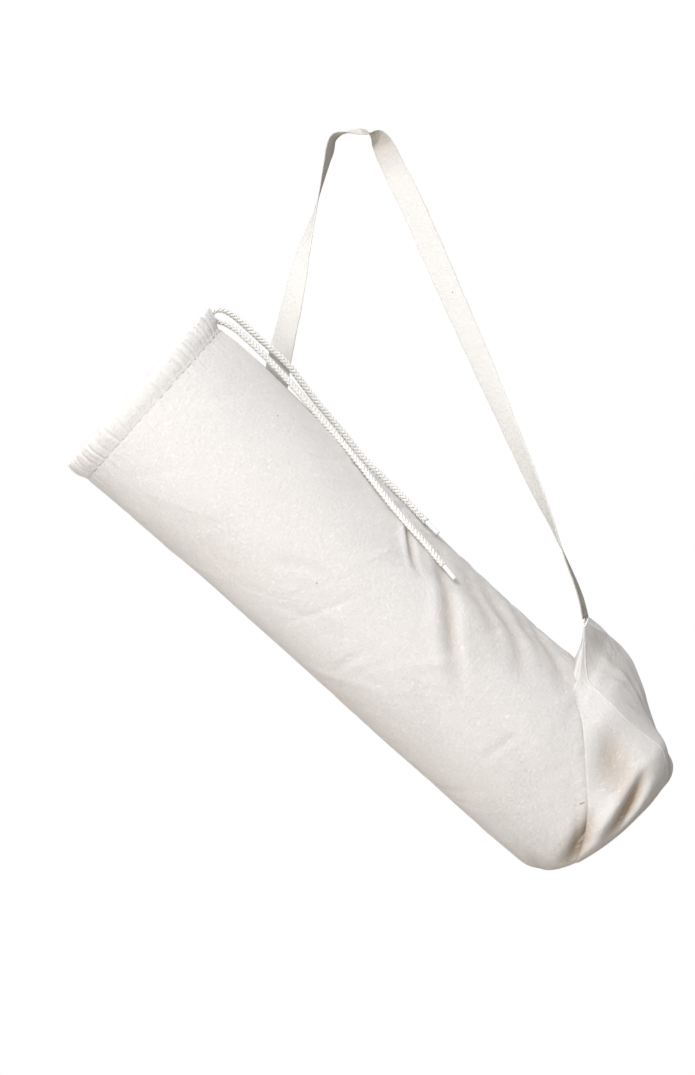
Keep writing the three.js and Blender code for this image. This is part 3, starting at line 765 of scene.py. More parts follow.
# Lower seam on the pulled-up corner, as along and turn: the cloth folds sharply back beyond it
cornerSeam = [
    (0.788, 26), (0.79, 30.5), (0.7935, 34.5), (0.800, 37.6), (0.809, 39.6), (0.821, 41.6), (0.838, 43.9),
    (0.855, 45.4), (0.871, 46.2), (0.888, 46), (0.9, 46), (0.913, 46), (0.924, 46), (0.937, 46.5),
    (0.949, 47.5), (0.958, 48.5),
]
cornerTent = {"height": 0.0085, "from": 0.795, "full": 0.845, "fade": 0.925, "until": 0.965, "fall": 42}

seamPuckers = {
    "seed": 23,
    "count": 46,
    "along": (0.40, 0.77),
    "turn": (-4, 34),
    "depth": (0.0003, 0.0009),
    "width": (0.0016, 0.0032),
    "length": (0.009, 0.024),
    "slant": (-62, -22),
}

creasing = {
    "seed": 41,
    "count": 150,
    "along": (0.06, 0.97),
    "turn": (-180, 180),
    "depth": (0.00015, 0.0006),
    "width": (0.0022, 0.0055),
    "length": (0.010, 0.045),
    "slant": (-70, -10),
}


def turnGap(turn, other):
    return (turn - other + 540) % 360 - 180


def softDentLift(along, turn):
    lift = np.zeros(np.broadcast(along, turn).shape)
    for at, side, length, breadth, depth, slant in softDents:
        forward = (along - at) * bag["length"]
        round = np.radians(turnGap(turn, side)) * bag["radius"]
        c, s = math.cos(math.radians(slant)), math.sin(math.radians(slant))
        run = (forward * c + round * s) / (length * bag["length"])
        across = (round * c - forward * s) / (breadth * bag["radius"])
        lift += depth * bag["radius"] * np.exp(-run ** 2 - across ** 2)
    return lift


# A valley along a line on the unrolled cloth, fading at its ends, with the cloth beside it pushed up
def foldLift(along, turn, depth, width, beside, line):
    x = along * bag["length"]
    middle = line[len(line) // 2][1]
    y = np.radians(turnGap(turn, middle)) * bag["radius"]
    knots = np.array([(a * bag["length"], math.radians(turnGap(t, middle)) * bag["radius"]) for a, t in line])
    fine = smoothLine(knots, 0.004)
    best = np.full(np.broadcast(x, y).shape, 1e9)
    signed = np.zeros_like(best)
    place = np.zeros_like(best)
    for i in range(len(fine) - 1):
        a, b = fine[i], fine[i + 1]
        d = b - a
        size = d @ d
        t = np.clip(((x - a[0]) * d[0] + (y - a[1]) * d[1]) / size, 0, 1)
        fx, fy = x - a[0] - t * d[0], y - a[1] - t * d[1]
        apart = np.hypot(fx, fy)
        closer = apart < best
        best = np.where(closer, apart, best)
        signed = np.where(closer, np.sign(d[0] * fy - d[1] * fx) * apart, signed)
        place = np.where(closer, (i + t) / (len(fine) - 1), place)
    fade = np.sin(np.pi * np.clip(place, 0, 1)) ** 1.2
    valley = -np.exp(-(signed / width) ** 2)
    ridge = beside * np.exp(-((np.abs(signed) - 1.9 * width) / (1.1 * width)) ** 2)
    ridge = ridge * (0.75 + 0.25 * np.sign(signed))
    return depth * fade * (valley + 0.6 * ridge)


def smallFoldLift(along, turn, kind):
    draw = np.random.default_rng(kind["seed"])
    lift = np.zeros(np.broadcast(along, turn).shape)
    x = along * bag["length"]
    for _ in range(kind["count"]):
        at, side = draw.uniform(*kind["along"]), draw.uniform(*kind["turn"])
        depth, width = draw.uniform(*kind["depth"]), draw.uniform(*kind["width"])
        length, slant = draw.uniform(*kind["length"]), math.radians(draw.uniform(*kind["slant"]))
        forward = x - at * bag["length"]
        round = np.radians(turnGap(turn, side)) * bag["radius"]
        run = (forward * math.cos(slant) + round * math.sin(slant)) / length
        across = (round * math.cos(slant) - forward * math.sin(slant)) / width
        lift += depth * draw.choice((-1, 1)) * np.exp(-run ** 2 - across ** 2)
    return lift


# Slow unevenness of cloth that is filled but not stretched tight
def softWaves(along, turn):
    a, t = along * bag["length"], np.radians(turn)
    waves = 0.5 * np.sin(38 * a + 2 * t + 0.4) * np.cos(3 * t - 11 * a)
    waves = waves + 0.35 * np.sin(61 * a - 3 * t + 2.1) * np.cos(5 * t + 1.3)
    waves = waves + 0.25 * np.sin(17 * a + 7 * t + 4.0)
    return bag["waveHeight"] * waves


# The hem is gathered: narrow valleys at uneven places round the mouth
gathers = {
    "seed": 5,
    "spacing": (0.0075, 0.0155),
    "width": (0.0010, 0.0021),
    "depth": (0.0004, 0.0011),
    "strongTurns": (18, 160, -20, 200),
    "strongSpread": 24,
    "fadeBelow": 0.013,
    "bagShare": 0.55,         # how deep the valleys are in the bag's cloth just below the hem
}


def gatherPleats():
    draw = np.random.default_rng(gathers["seed"])
    pleats, turn = [], 14.0
    while turn < 354:
        strong = sum(math.exp(-(turnGap(turn, t) / gathers["strongSpread"]) ** 2)
            for t in gathers["strongTurns"])
        depth = draw.uniform(*gathers["depth"]) * (0.75 + 0.9 * min(1, strong))
        pleats.append((turn, draw.uniform(*gathers["width"]), depth, draw.uniform(-0.12, 0.12)))
        spacing = draw.uniform(*gathers["spacing"]) / bag["radius"]
        turn += math.degrees(spacing) * (1.1 - 0.35 * min(1, strong))
    return pleats


pleatRows = gatherPleats()


def gatherLift(along, turn):
    lift = np.zeros(np.broadcast(along, turn).shape)
    for side, width, depth, slant in pleatRows:
        across = np.radians(turnGap(turn, side)) * bag["radius"] - slant * along
        lift = lift - depth * np.exp(-(np.abs(across) / width) ** 1.5)
        lift = lift + 0.5 * depth * np.exp(-((np.abs(across) - 2.2 * width) / (1.6 * width)) ** 2)
    return lift


# The corner's cloth rises to its seam and falls back to the outline beyond it
def tentLift(along, turn, ridgeTurn):
    seam = np.interp(along, *np.array(cornerSeam).T)
    beyond = turnGap(turn, ridgeTurn)
    seamGap = seam - ridgeTurn
    rising = np.clip(beyond / np.maximum(seamGap, 1), 0, 1)
    falling = np.clip(1 - (beyond - seamGap) / cornerTent["fall"], 0, 1) ** 1.6
    share = np.where(beyond < seamGap, rising, falling)
    height = smoothStep(cornerTent["from"], cornerTent["full"], along) \
        * (1 - smoothStep(cornerTent["fade"], cornerTent["until"], along))
    return cornerTent["height"] * height * share


def bodyLift(along, turn, fine, ridgeTurn):
    fade = smoothStep(0.04, 0.12, along)
    lift = fade * (softDentLift(along, turn) + softWaves(along, turn))
    bunched = np.exp(-((along - bag["bunchAlong"]) / bag["bunchLength"]) ** 2 - (turnGap(turn, 8) / 26) ** 2)
    lift = lift + bag["bunchLift"] * bunched * smoothStep(0.035, 0.07, along)
    if fine:
        lift = lift + tentLift(along, turn, ridgeTurn)
        for fold in sharpFolds:
            lift = lift + foldLift(along, turn, *fold)
        for fold in cornerFolds:
            lift = lift + foldLift(along, turn, *fold)
        lift = lift + fade * (smallFoldLift(along, turn, creasing) + smallFoldLift(along, turn, seamPuckers))
        below = np.maximum(along * bag["length"] - bag["hemDepth"], 0)
        fading = np.exp(-(below / gathers["fadeBelow"]) ** 1.3)
        pulled = gathers["bagShare"] * gatherLift(along * bag["length"], turn)
        lift = lift + pulled * fading * smoothStep(0.0005, 0.004, below)
    return lift


# How the cloth turns back under the fold's edge: along the path, forward as shares of tuckBack, and height as
# a share of lip
tuckPath = [
    (0.0, 0.0, 1.0), (0.1, 0.16, 0.93), (0.18, 0.22, 0.78), (0.26, 0.14, 0.62), (0.34, -0.05, 0.55),
    (0.48, -0.55, 0.5), (0.58, -0.95, 0.42), (0.64, -1.1, 0.26), (0.7, -0.95, 0.08), (0.8, -0.4, 0.0),
    (0.9, 0.25, 0.0), (1.0, 1.0, 0.0),
]


def columnTurns(section, lipped):
    flap = np.linspace(0, 1, bag["flapColumns"])[None, :]
    flapTurns = section["ridgeTurn"] + (section["foldTurn"] - section["ridgeTurn"]) * flap
    tuck = np.arange(1, bag["tuckColumns"] + 1) / bag["tuckColumns"]
    path = smoothRows([row[0] for row in tuckPath], [row[1:] for row in tuckPath], tuck)
    span = bag["tuckSpan"] * tuck[None, :]
    back = math.degrees(bag["tuckBack"] / bag["radius"])
    folded = np.where(tuck[None, :] < 0.8, back * path[None, :, 0],
        back * path[None, :, 0] + (bag["tuckSpan"] - back) * smoothStep(0.8, 1, tuck)[None, :])
    flat = np.clip(section["lip"] / 0.03, 0, 1) if lipped else np.zeros_like(section["lip"])
    tuckTurns = section["foldTurn"] + span * (1 - flat) + folded * flat
    start = section["foldTurn"] + bag["tuckSpan"]
    rest = np.arange(1, bag["restColumns"] + 1)[None, :] / (bag["restColumns"] + 1)
    restTurns = start + (360 + section["ridgeTurn"] - start) * rest
    height = np.concatenate([smoothStep(0, 0.3, flap[0]), path[:, 1], np.zeros(bag["restColumns"])])[None, :]
    plain = np.concatenate([flapTurns, section["foldTurn"] + span, restTurns], 1)
    return np.concatenate([flapTurns, tuckTurns, restTurns], 1), plain, height


def bagRings(places, inset):
    section = sectionAt(places)
    turns, plain, height = columnTurns(section, inset == 0)
    return bagPoints(section, turns, plain, height, inset), plain


# inset is 0 on the outside, and the cloth's thickness on the inside near the mouth
def bagPoints(section, turns, plain, height, inset):
    outer = inset == 0
    if not outer:
        inset = inset + smoothStep(0.1, 0.3, section["along"]) * (bag["innerInset"] - bag["wall"])
    round = section["round"] * bag["radius"] - inset
    ridge = np.maximum(section["ridge"] * bag["radius"] - bag["cornerLayers"] * inset, round)
    blunt = np.arctan(bag["cornerHalf"] / ridge)
    spread = np.arccos(np.minimum(1, round / ridge))
    steep = np.maximum(1, (spread + blunt) / np.radians(section["foldTurn"] - section["ridgeTurn"]))
    lean = section["lean"] * bag["radius"] * (1 if outer else bag["innerLean"])
    back = inset * smoothStep(0.93, 0.985, section["along"])
    side = np.radians(turnGap(turns, section["ridgeTurn"]))
    away = np.where(side > 0, side * steep, -side)
    away = np.sqrt(away ** 2 + (0.3 * blunt) ** 2) - 0.3 * blunt
    reach = round / np.cos(np.maximum(0, spread - np.maximum(0, away - blunt)))
    leaned = np.where(ridge - round > 1e-6, (reach - round) / np.maximum(ridge - round, 1e-6), 0)
    reach = reach + (height * section["lip"] * bag["radius"] if outer else 0)
    tuckFrom, tuckFull = bag["hemDepth"] - 0.0013, bag["hemDepth"] - 0.0004
    tucked = 1 - smoothStep(tuckFrom, tuckFull, section["along"] * bag["length"])
    reach = reach + bodyLift(section["along"], plain, outer, section["ridgeTurn"]) - bag["tuckIn"] * tucked
    along = section["along"] * bag["length"] - leaned * lean - back
    along = along + section["slant"] * reach * np.cos(np.radians(turns))
    return onBag(along, reach, turns, section["drop"] * bag["radius"])


# How deep in a fold each point of the cloth lies, for the warm painted shade that darkens the cloth's colour
# there
def paintedFoldShadeShare(along, turn):
    depth = np.zeros(np.broadcast(along, turn).shape)
    for fold in sharpFolds + cornerFolds:
        depth = depth + np.maximum(0, -foldLift(along, turn, *fold))
    return np.clip(depth / bag["paintedShadeFullDepth"], 0, 1)


def bagBody():
    steps = int((sectionPlaces[-1] - sectionPlaces[0]) / bag["ringStep"])
    tuckPlaces = [0.0, 0.0010, 0.0018, 0.0020, 0.0022, 0.0024, 0.0026, 0.0028, 0.0032, 0.0044]
    outerPlaces = np.concatenate([tuckPlaces, np.linspace(0.0060, sectionPlaces[-1], steps)])
    innerPlaces = np.concatenate([np.linspace(0, placesAlong(0.75), 22),
        np.linspace(placesAlong(0.765), sectionPlaces[-1], 30)])
    outside, plain = bagRings(outerPlaces, 0)
    inside, innerPlain = bagRings(innerPlaces, bag["wall"])
    # painted shade for the outside, from how deep each point lies in a fold
    paintedShade = paintedFoldShadeShare(sectionAt(outerPlaces)["along"], plain)
    rings = np.concatenate([inside[::-1], outside])
    u = np.concatenate([ringDistances(inside)[::-1], ringDistances(outside)])
    u = np.concatenate([u, u[:, :1]], 1)
    around = np.concatenate([innerPlain[::-1], plain])
    v = np.radians(np.concatenate([around, around[:, :1] + 360], 1)) * bag["radius"]
    count = rings.shape[1]
    faces = gridFaces(len(rings), count, True).tolist()
    cloth = gridCloth(u, v)
    points = rings.reshape(-1, 3)
    ends = np.array([rings[0].mean(0), rings[-1].mean(0)])
    points = np.vstack([points, ends])
    last = (len(rings) - 1) * count
    capCloth = []
    for i in range(count):
        j = (i + 1) % count
        faces.append([len(points) - 2, j, i])
        capCloth += [(u[0, i], v[0, i])] * 3
    for i in range(count):
        j = (i + 1) % count
        faces.append([len(points) - 1, last + i, last + j])
        capCloth.append((u[-1, i] + bag["capReach"], v[-1, i]))
        capCloth += [(u[-1, i], v[-1, i]), (u[-1, i + 1], v[-1, i + 1])]
    piece = meshPiece("bagCanvas", points, faces, canvas, np.vstack([cloth, capCloth]))
    # the painted shade is kept as a point attribute, and the inside and the two end points get none
    shade = piece.data.attributes.new("paintedShade", "FLOAT", "POINT")
    shade.data.foreach_set("value", np.concatenate([np.zeros(inside.size // 3), paintedShade.ravel(), [0, 0]]))
    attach(piece, "root")
    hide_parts("bag_body")
    return piece


# Distance over the cloth from the mouth, for the weave
def ringDistances(rings):
    steps = np.linalg.norm(np.diff(rings, axis=0), axis=2)
    return np.concatenate([np.zeros((1, rings.shape[1])), np.cumsum(steps, axis=0)])


# Points on the bag's outside, at any share of its length and any turn
def bagSurface(shares, turns):
    section = sectionAt(placesAlong(np.asarray(shares, float)))
    turns = np.asarray(turns, float)[:, None]
    flapShare = (turns - section["ridgeTurn"]) / (section["foldTurn"] - section["ridgeTurn"])
    height = np.where((flapShare > 0) & (flapShare <= 1), smoothStep(0, 0.3, flapShare), 0)
    return bagPoints(section, turns, turns, height, 0)[:, 0]


bagPiece = bagBody()
print("bag body made:", len(bagPiece.data.polygons), "faces")

# Seams: a low welt of cloth along each
seams = {
    "step": 0.002,
    "width": 0.0022,
    "height": 0.0010,
    "sink": 0.0002,
}
sideSeam = [
    (0.042, 5), (0.1, -2), (0.153, -8), (0.25, -4), (0.4, 4), (0.55, 12), (0.66, 15), (0.73, 19), (0.775, 24),
]
endSeam = [(0.958, 48.5), (0.968, 52), (0.978, 60), (0.985, 75), (0.989, 100)]


# The seam's line over the bag, with the way out of the cloth at each of its points
def seamLine(rows):
    rows = np.array(rows, float)
    wide = rows * np.array([bag["length"], math.radians(1) * bag["radius"]])
    fine = smoothLine(wide, seams["step"]) / np.array([bag["length"], math.radians(1) * bag["radius"]])
    line = bagSurface(fine[:, 0], fine[:, 1])
    beside = bagSurface(fine[:, 0], fine[:, 1] + 1.5) - bagSurface(fine[:, 0], fine[:, 1] - 1.5)
    run = np.gradient(line, axis=0)
    out = np.cross(beside, run)
    out /= np.linalg.norm(out, axis=1)[:, None]
    middle = line - (mouthCentre + ((line - mouthCentre) @ axisWay)[:, None] * axisWay)
    out *= np.sign((out * middle).sum(1))[:, None]
    side = np.cross(out, run)
    return line, out, side / np.linalg.norm(side, axis=1)[:, None]


def seamWelt(name, rows):
    line, out, side = seamLine(rows)
    draw = np.random.default_rng(len(rows))
    uneven = 1 + 0.18 * np.interp(np.arange(len(line)), np.arange(0, len(line) + 4, 4),
        draw.uniform(-1, 1, len(np.arange(0, len(line) + 4, 4))))
    taper = np.minimum(1, np.minimum(np.arange(len(line)), np.arange(len(line))[::-1]) / 3 + 0.2)
    rings = []
    for k in range(10):
        angle = 2 * math.pi * k / 10
        across = side * (seams["width"] / 2 * math.cos(angle) * taper[:, None])
        rise = out * (seams["height"] / 2 * math.sin(angle) * (uneven * taper)[:, None])
        rings.append(line - out * seams["sink"] + across + rise)
    rings = np.stack(rings, 1)
    points, faces = joined([tubePart(rings)])
    length = len(line) * seams["step"]
    cloth = np.vstack([ribbonCloth(len(line), 10, length, 0.006), np.zeros((20, 2))])
    welt = meshPiece(name, points, faces, canvas, cloth)
    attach(welt, "root")


seamWelt("cornerSeamWelt", cornerSeam + endSeam[1:])
seamWelt("sideSeamWelt", sideSeam)
print("seams made")

# Hem: the cloth folded over at the mouth and stitched down, with the drawcord inside
hem = {
    "cloth": 0.0012,
    "channelHeight": 0.0086,
    "outerSwell": 0.0041,     # from the channel's middle to the middle of the cloth outside it
    "solidCloth": 0.0015,     # thickness of each hem layer in the solid
    "solidBetween": 0.002,    # the bag's wall between the solid's layers
    "solidGaps": 0.001,
    "puff": 0.0003,
    "slitMiddle": 5,
    "slitTurn": 8,
    "slitLift": 0.009,
    "slitBunch": 24,
    "columns": 760,
    "stitchAlong": 0.0190,
    "stitchLength": 0.0027,
    "stitchGap": 0.0009,
    "threadRadius": 0.00028,
}
hemMouthRadius = bagSections[0][1] * bag["radius"]
hemOuterLayer = hemMouthRadius - hem["solidCloth"] / 2
hemInnerLayer = hemOuterLayer - hem["solidCloth"] - hem["solidBetween"] - hem["solidGaps"]
hemMiddle = (hemOuterLayer + hemInnerLayer) / 2


def hemLift(turn):
    return hem["slitLift"] * np.exp(-(turnGap(turn, hem["slitMiddle"]) / hem["slitBunch"]) ** 2)


# The middle of the folded cloth: share of the hem's depth from the mouth, share of the channel's full swell
hemFold = [
    (1, 0), (0.93, 0.06), (0.86, 0.22), (0.74, 0.55), (0.6, 0.85),
    (0.45, 1), (0.3, 0.98), (0.16, 0.8), (0.07, 0.5),
]


def hemProfile():
    swollen = (hem["channelHeight"] + hem["cloth"]) / 2
    flat = (hemOuterLayer - hemInnerLayer) / 2
    outward = [(along * bag["hemDepth"], flat * (1 - share) + hem["outerSwell"] * share)
        for along, share in hemFold]
    inward = [(along * bag["hemDepth"], -flat * (1 - share) - swollen * share)
        for along, share in hemFold[::-1]]
    middle = smoothLine(outward + [(0.0006, 0.0)] + inward, 0.0013)
    run = np.gradient(middle, axis=0)
    run /= np.linalg.norm(run, axis=1)[:, None]
    normal = np.stack([run[:, 1], -run[:, 0]], 1) * hem["cloth"] / 2
    return np.vstack([middle + normal, (middle - normal)[::-1]]), len(middle)


def hemRing():
    profile, layers = hemProfile()
    first, last = hem["slitMiddle"] + hem["slitTurn"], hem["slitMiddle"] + 360 - hem["slitTurn"]
    turns = np.linspace(first, last, hem["columns"])
    along, offset = profile[:, 0][None, :], profile[:, 1][None, :]
    free = np.maximum(0, 1 - along / bag["tuckDepth"])
    pleat = gatherLift(along, turns[:, None])
    held = 0.35 + 0.65 * smoothStep(0.0, 0.45, 1 - along / bag["hemDepth"])
    outerSide = np.where(offset > 0, 1.0, 0.45)
    raised = (pleat + hem["puff"] * free) * held * outerSide
    reach = hemMiddle + offset + hemLift(turns)[:, None] * free + raised
    ripple = 0.0012 * np.sin(np.radians(turns) * 31) * np.sin(np.radians(turns) * 7 + 1)
    rim = ripple + 0.8 * gatherLift(0.0, turns)
    forward = along - rim[:, None] * np.maximum(0, 1 - along / 0.012) * 0.6
    rings = onBag(forward, reach, turns[:, None])
    count = rings.shape[1]
    faces = gridFaces(len(rings), count, True).tolist()
    u = np.concatenate([[0], np.cumsum(np.linalg.norm(np.diff(profile, axis=0), axis=1)), [0.1]])
    v = np.radians(turns)[:, None] * bag["radius"]
    cloth = gridCloth(u[None, :] * np.ones((len(rings), 1)), v * np.ones((1, count + 1)))
    # each end is closed layer by layer
    ends = []
    last = (len(rings) - 1) * count
    for k in range(layers - 1):
        ends.append([k, k + 1, count - 2 - k, count - 1 - k])
        ends.append([last + count - 1 - k, last + count - 2 - k, last + k + 1, last + k])
    cloth = np.vstack([cloth, np.zeros((len(ends) * 4, 2))])
    piece = meshPiece("hem", rings.reshape(-1, 3), faces + ends, hemCanvas, cloth)
    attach(piece, "root")
    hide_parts("hem_channel")
    return piece


hemPiece = hemRing()
print("hem made:", len(hemPiece.data.polygons), "faces")


# One stitch: share of its length, then its thickness and its rise as shares of the thread's radius
stitchShape = [(0, 0.35, -0.9), (0.12, 0.9, -0.1), (0.5, 1.0, 0.35), (0.88, 0.9, -0.1), (1, 0.35, -0.9)]


# Short lengths of thread, each sunk a little at its ends
def stitchRow(name, places, outward, radius, material):
    parts = []
    angles = np.linspace(0, 2 * math.pi, 6, endpoint=False)
    for (start, end), out in zip(places, outward):
        run = end - start
        length = np.linalg.norm(run)
        run = run / length
        side = np.cross(run, out)
        side = side / np.linalg.norm(side)
        lift = np.cross(side, run)
        rings = []
        for share, size, rise in stitchShape:
            centre = start + run * length * share + lift * radius * rise
            rings.append([centre + radius * size * (math.cos(a) * side + math.sin(a) * lift) for a in angles])
        parts.append(tubePart(np.array(rings)))
    points, faces = joined(parts)
    corners = sum(len(face) for face in faces)
    piece = meshPiece(name, points, faces, material, np.zeros((corners, 2)))
    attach(piece, "root")
    return piece


def hemStitches():
    pitch = hem["stitchLength"] + hem["stitchGap"]
    span = math.radians(360 - 2 * hem["slitTurn"] - 3)
    count = int(span * hemMouthRadius / pitch)
    first = hem["slitMiddle"] + hem["slitTurn"] + 1.5
    starts = first + np.arange(count) * math.degrees(pitch / hemMouthRadius)
    ends = starts + math.degrees(hem["stitchLength"] / hemMouthRadius)
    places, outward = [], []
    for a, b in zip(starts, ends):
        pressed = 0.42 * gatherLift(hem["stitchAlong"], np.array([a, b]))
        reach = hemOuterLayer + hem["cloth"] / 2 + 0.0002 + pressed
        places.append(onBag(np.full(2, hem["stitchAlong"]), reach, np.array([a, b])))
        middle = math.radians((a + b) / 2)
        outward.append(math.cos(middle) * upWay + math.sin(middle) * nearWay)
    return stitchRow("hemStitches", places, outward, hem["threadRadius"], thread)


hemStitches()
print("hem stitched")

# Strap: flat woven tape that turns on its way
strap = {
    "width": 0.0212,
    "thickness": 0.0014,
    "anchorAlong": 0.088,
    "anchorTurn": -8,
    "clear": 0.0003,
    "step": 0.0024,
    "seat": 0.04,
    "acrossPoints": 15,
    "edgeWave": 0.00035,
    "bendRise": 0.00075,
    "rimRadius": 0.0008,
    "rimStep": 0.0005,
    # amounts of painted shade: after the bend, before the bend, and at the lower end
    "bendShade": 0.9,
    "backShade": 0.3,
    "endShade": 0.8,
}
upperLeg = [
    (0.0, 0.0, 72), (0.045, 0.003, 64), (0.09, 0.004, 69), (0.16, 0.0045, 76), (0.23, 0.005, 83),
    (0.3, 0.005, 90), (0.345, 0.008, 98), (0.42, 0.012, 110), (0.5, 0.014, 120), (0.58, 0.012, 130),
    (0.66, 0.01, 138), (0.74, 0.009, 147), (0.83, 0.009, 152), (0.92, 0.006, 154), (1, 0, 154),
]
lowerLeg = [
    (0, 0, 64), (0.021, 0.004, 42), (0.044, 0.005, 34), (0.074, 0.006, 30), (0.139, 0.01, 25),
    (0.244, 0.011, 22), (0.347, 0.011, 31), (0.452, 0.0115, 39), (0.556, 0.0118, 52), (0.66, 0.012, 64),
    (0.765, 0.0132, 78), (0.81, 0.0134, 88), (0.848, 0.012, 98), (0.885, 0.0108, 106), (0.928, 0.01, 110),
    (0.965, 0.007, 113), (1, 0, 116),
]
strapBend = [
    (-1.1, -0.277, 72), (-0.82, -0.09, 88), (-0.5, 0.0, 102), (0, 0.034, 113), (0.35, 0.01, 104),
    (0.68, -0.123, 64),
]


def strapLeg(table, start, end, outwardSide):
    run = end - start
    outward = np.array([-run[2], 0, run[0]]) / math.hypot(run[0], run[2]) * np.sign(-run[2]) * outwardSide
    length = np.linalg.norm(run)
    return [(*(start + run * along + outward * bow * length), turn) for along, bow, turn in table]


def cornerTipPoint():
    rings, _ = bagRings(placesAlong([bagSections[bag["tipRow"]][0]]), 0)
    return rings[0, 0] + np.array([0, 0, strap["clear"] + strap["thickness"] / 2])


def strapStations():
    section = sectionAt(placesAlong([strap["anchorAlong"] / bag["length"]]))
    reach = section["round"][0, 0] * bag["radius"] + strap["thickness"] / 2 + strap["clear"]
    top = onBag(strap["anchorAlong"], reach, strap["anchorTurn"], section["drop"][0, 0] * bag["radius"])
    highest = max(row[1] for row in strapBend) * strap["width"]
    bend = [(side * strap["width"], 0.0, rise * strap["width"] + strap["bendRise"] - highest, turn)
        for side, rise, turn in strapBend]
    first, last = np.array(bend[0][:3]), np.array(bend[-1][:3])
    upper = strapLeg(upperLeg, first, top, -1)[::-1]
    lower = strapLeg(lowerLeg, last, cornerTipPoint(), 1)
    return np.array(upper[:-1] + bend + lower[1:])


# Painted shade: where the tape is turned from the light, at the bend, on the leg just before it and at its
# lower end, its colour is painted browner by an uneven amount
def strapShade(line, along):
    past = along - along[np.argmax(line[:, 2])]
    bend = np.where(past > 0, strap["bendShade"] * (1 - smoothStep(0.012, 0.062, past)),
        strap["backShade"] * (1 - smoothStep(0.075, 0.095, -past)))
    lowEnd = strap["endShade"] * smoothStep(0.075, 0.045, along[-1] - along)
    mottle = 0.86 + 0.14 * np.sin(along * 260 + 2.5 * np.sin(along * 97))
    return np.clip((bend + lowEnd) * mottle, 0, 1)


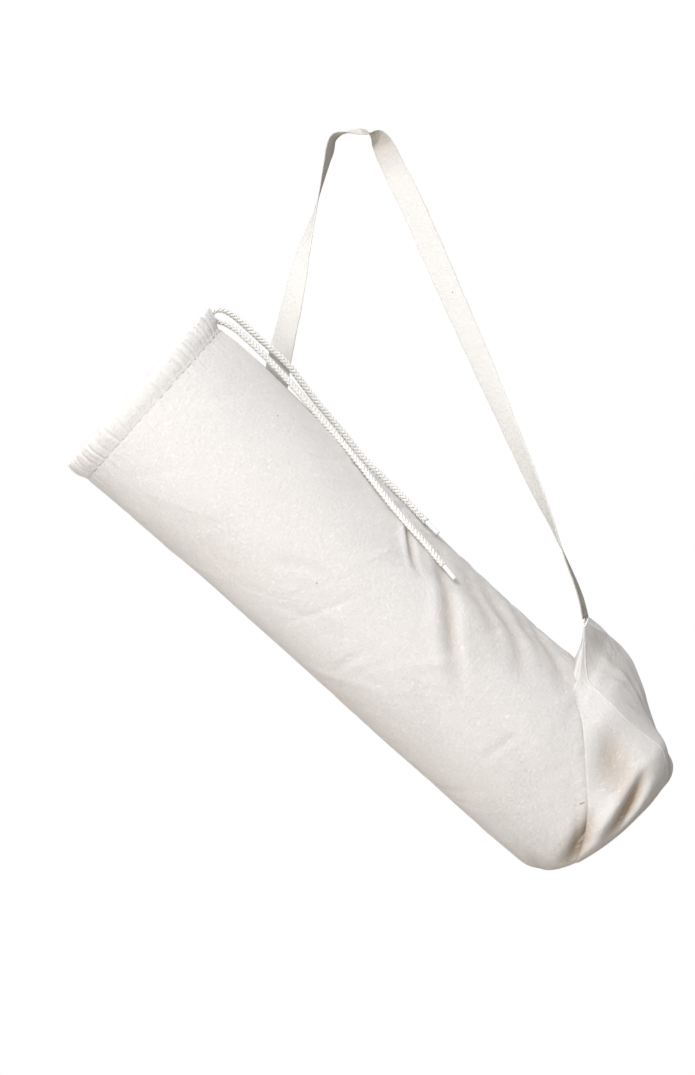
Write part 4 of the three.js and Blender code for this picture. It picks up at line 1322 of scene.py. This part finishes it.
def strapTape():
    stations = strapStations()
    scaled = stations * np.array([1, 1, 1, 0.0001])
    fine = smoothLine(scaled, strap["step"])
    line, turns = fine[:, :3], np.radians(fine[:, 3] / 0.0001)
    run = np.gradient(line, axis=0)
    run /= np.linalg.norm(run, axis=1)[:, None]
    outward = np.stack([-run[:, 2], np.zeros(len(run)), run[:, 0]], 1)
    outward /= np.linalg.norm(outward, axis=1)[:, None]
    across = outward * np.cos(turns)[:, None] + nearWay * np.sin(turns)[:, None]
    face = np.cross(run, across)
    face /= np.linalg.norm(face, axis=1)[:, None]
    seated = np.clip(1 - np.linalg.norm(line - line[0], axis=1) / strap["seat"], 0, 1)[:, None]
    side = across * (1 - seated) + axisWay * seated
    side /= np.linalg.norm(side, axis=1)[:, None]
    wide = strap["width"] / np.linalg.norm(np.cross(run, side), axis=1)[:, None]
    along = np.concatenate([[0], np.cumsum(np.linalg.norm(np.diff(line, axis=0), axis=1))])
    # the section is flat with soft, slightly thicker edges
    shares = np.sin(np.linspace(-math.pi / 2, math.pi / 2, strap["acrossPoints"]))
    edges = np.sqrt(np.maximum(0.0, 1 - np.abs(shares) ** 14))
    thick = strap["thickness"] / 2 * (0.8 + 0.2 * np.abs(shares) ** 3) * edges
    cup = 0.0006 * np.sin(along * 23)[:, None] * (shares[None, :] ** 2 - 0.4)
    cup = cup + 0.0002 * np.sin(along * 71 + 1)[:, None] * shares[None, :]
    ripple = (np.sin(along * 210) + 0.6 * np.sin(along * 523 + 1))[:, None]
    wave = 1 + strap["edgeWave"] / strap["width"] * ripple
    top = line[:, None] + side[:, None] * (shares[None, :, None] * (wide * wave)[:, :, None] / 2) \
        + face[:, None] * (cup + thick[None, :])[:, :, None]
    under = line[:, None] + side[:, None] * (shares[None, :, None] * (wide * wave)[:, :, None] / 2) \
        + face[:, None] * (cup - thick[None, :])[:, :, None]
    rings = np.concatenate([top[:, ::-1], under[:, 1:-1]], 1)
    points, faces = joined([tubePart(rings)])
    columns = rings.shape[1]
    acrossCloth = np.concatenate([shares[::-1], shares[1:-1], shares[-1:]]) * strap["width"] / 2
    cloth = gridCloth(along[:, None] * np.ones((1, columns + 1)),
        acrossCloth[None, :] * np.ones((len(along), 1)))
    cloth = np.vstack([cloth, np.zeros((2 * columns, 2))])
    piece = meshPiece("strapTape", points, faces, tape, cloth)
    # the painted shade is stored for each point and darkens the tape's colour
    shade = piece.data.attributes.new("paintedShade", "FLOAT", "POINT")
    shade.data.foreach_set("value", np.repeat(strapShade(line, along), columns))
    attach(piece, "root")
    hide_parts("strap")
    return piece


# The opened corner's rim, which stands round the near edge of the strap's end
cornerRimPath = [
    (-0.0053, -0.0125, -0.0030), (-0.0050, -0.0150, -0.0052), (-0.0043, -0.0170, -0.0068),
    (-0.0028, -0.0160, -0.0045), (-0.0012, -0.0138, -0.0018), (0.0002, -0.0118, 0.0002),
]


def cornerRim():
    line = smoothLine(cornerTipPoint() + np.array(cornerRimPath), strap["rimStep"])
    _, side, up = steadyFrames(line)
    angles = np.linspace(0, 2 * math.pi, 8, endpoint=False)
    fromEnd = np.minimum(np.arange(len(line)), np.arange(len(line))[::-1])
    radius = strap["rimRadius"] * np.sqrt(np.minimum(1, fromEnd / 4 + 0.1))[:, None]
    rings = np.stack([line + radius * (side * math.cos(a) + up * math.sin(a)) for a in angles], 1)
    points, faces = joined([tubePart(rings)])
    cloth = np.vstack([ribbonCloth(len(line), 8, 0.02, 0.004), np.zeros((16, 2))])
    piece = meshPiece("cornerRim", points, faces, hemCanvas, cloth)
    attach(piece, "root")


cornerRim()
strapPiece = strapTape()
print("strap made:", len(strapPiece.data.polygons), "faces")

# The stretch of cord inside the hem stays the frame's own solid, with the braid's finish
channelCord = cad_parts["drawcord_in_channel"]
channelCord.data.materials.clear()
channelCord.data.materials.append(cotton)
channelCord.data.uv_layers.new(name="cloth")

# Floor: one sheet of pale paper under the bag
def paperFloor():
    material = bpy.data.materials.new("palePaper")
    material.use_nodes = True
    surface = material.node_tree.nodes["Principled BSDF"]
    surface.inputs["Base Color"].default_value = (*studio["paper"], 1)
    surface.inputs["Roughness"].default_value = 0.95
    half, depth = studio["floorHalf"], -studio["floorDepth"]
    corners = [(-half, -half, depth), (half, -half, depth), (half, studio["floorBack"], depth),
        (-half, studio["floorBack"], depth)]
    paper = meshPiece("paperFloor", corners, [[0, 1, 2, 3]], material)


paperFloor()
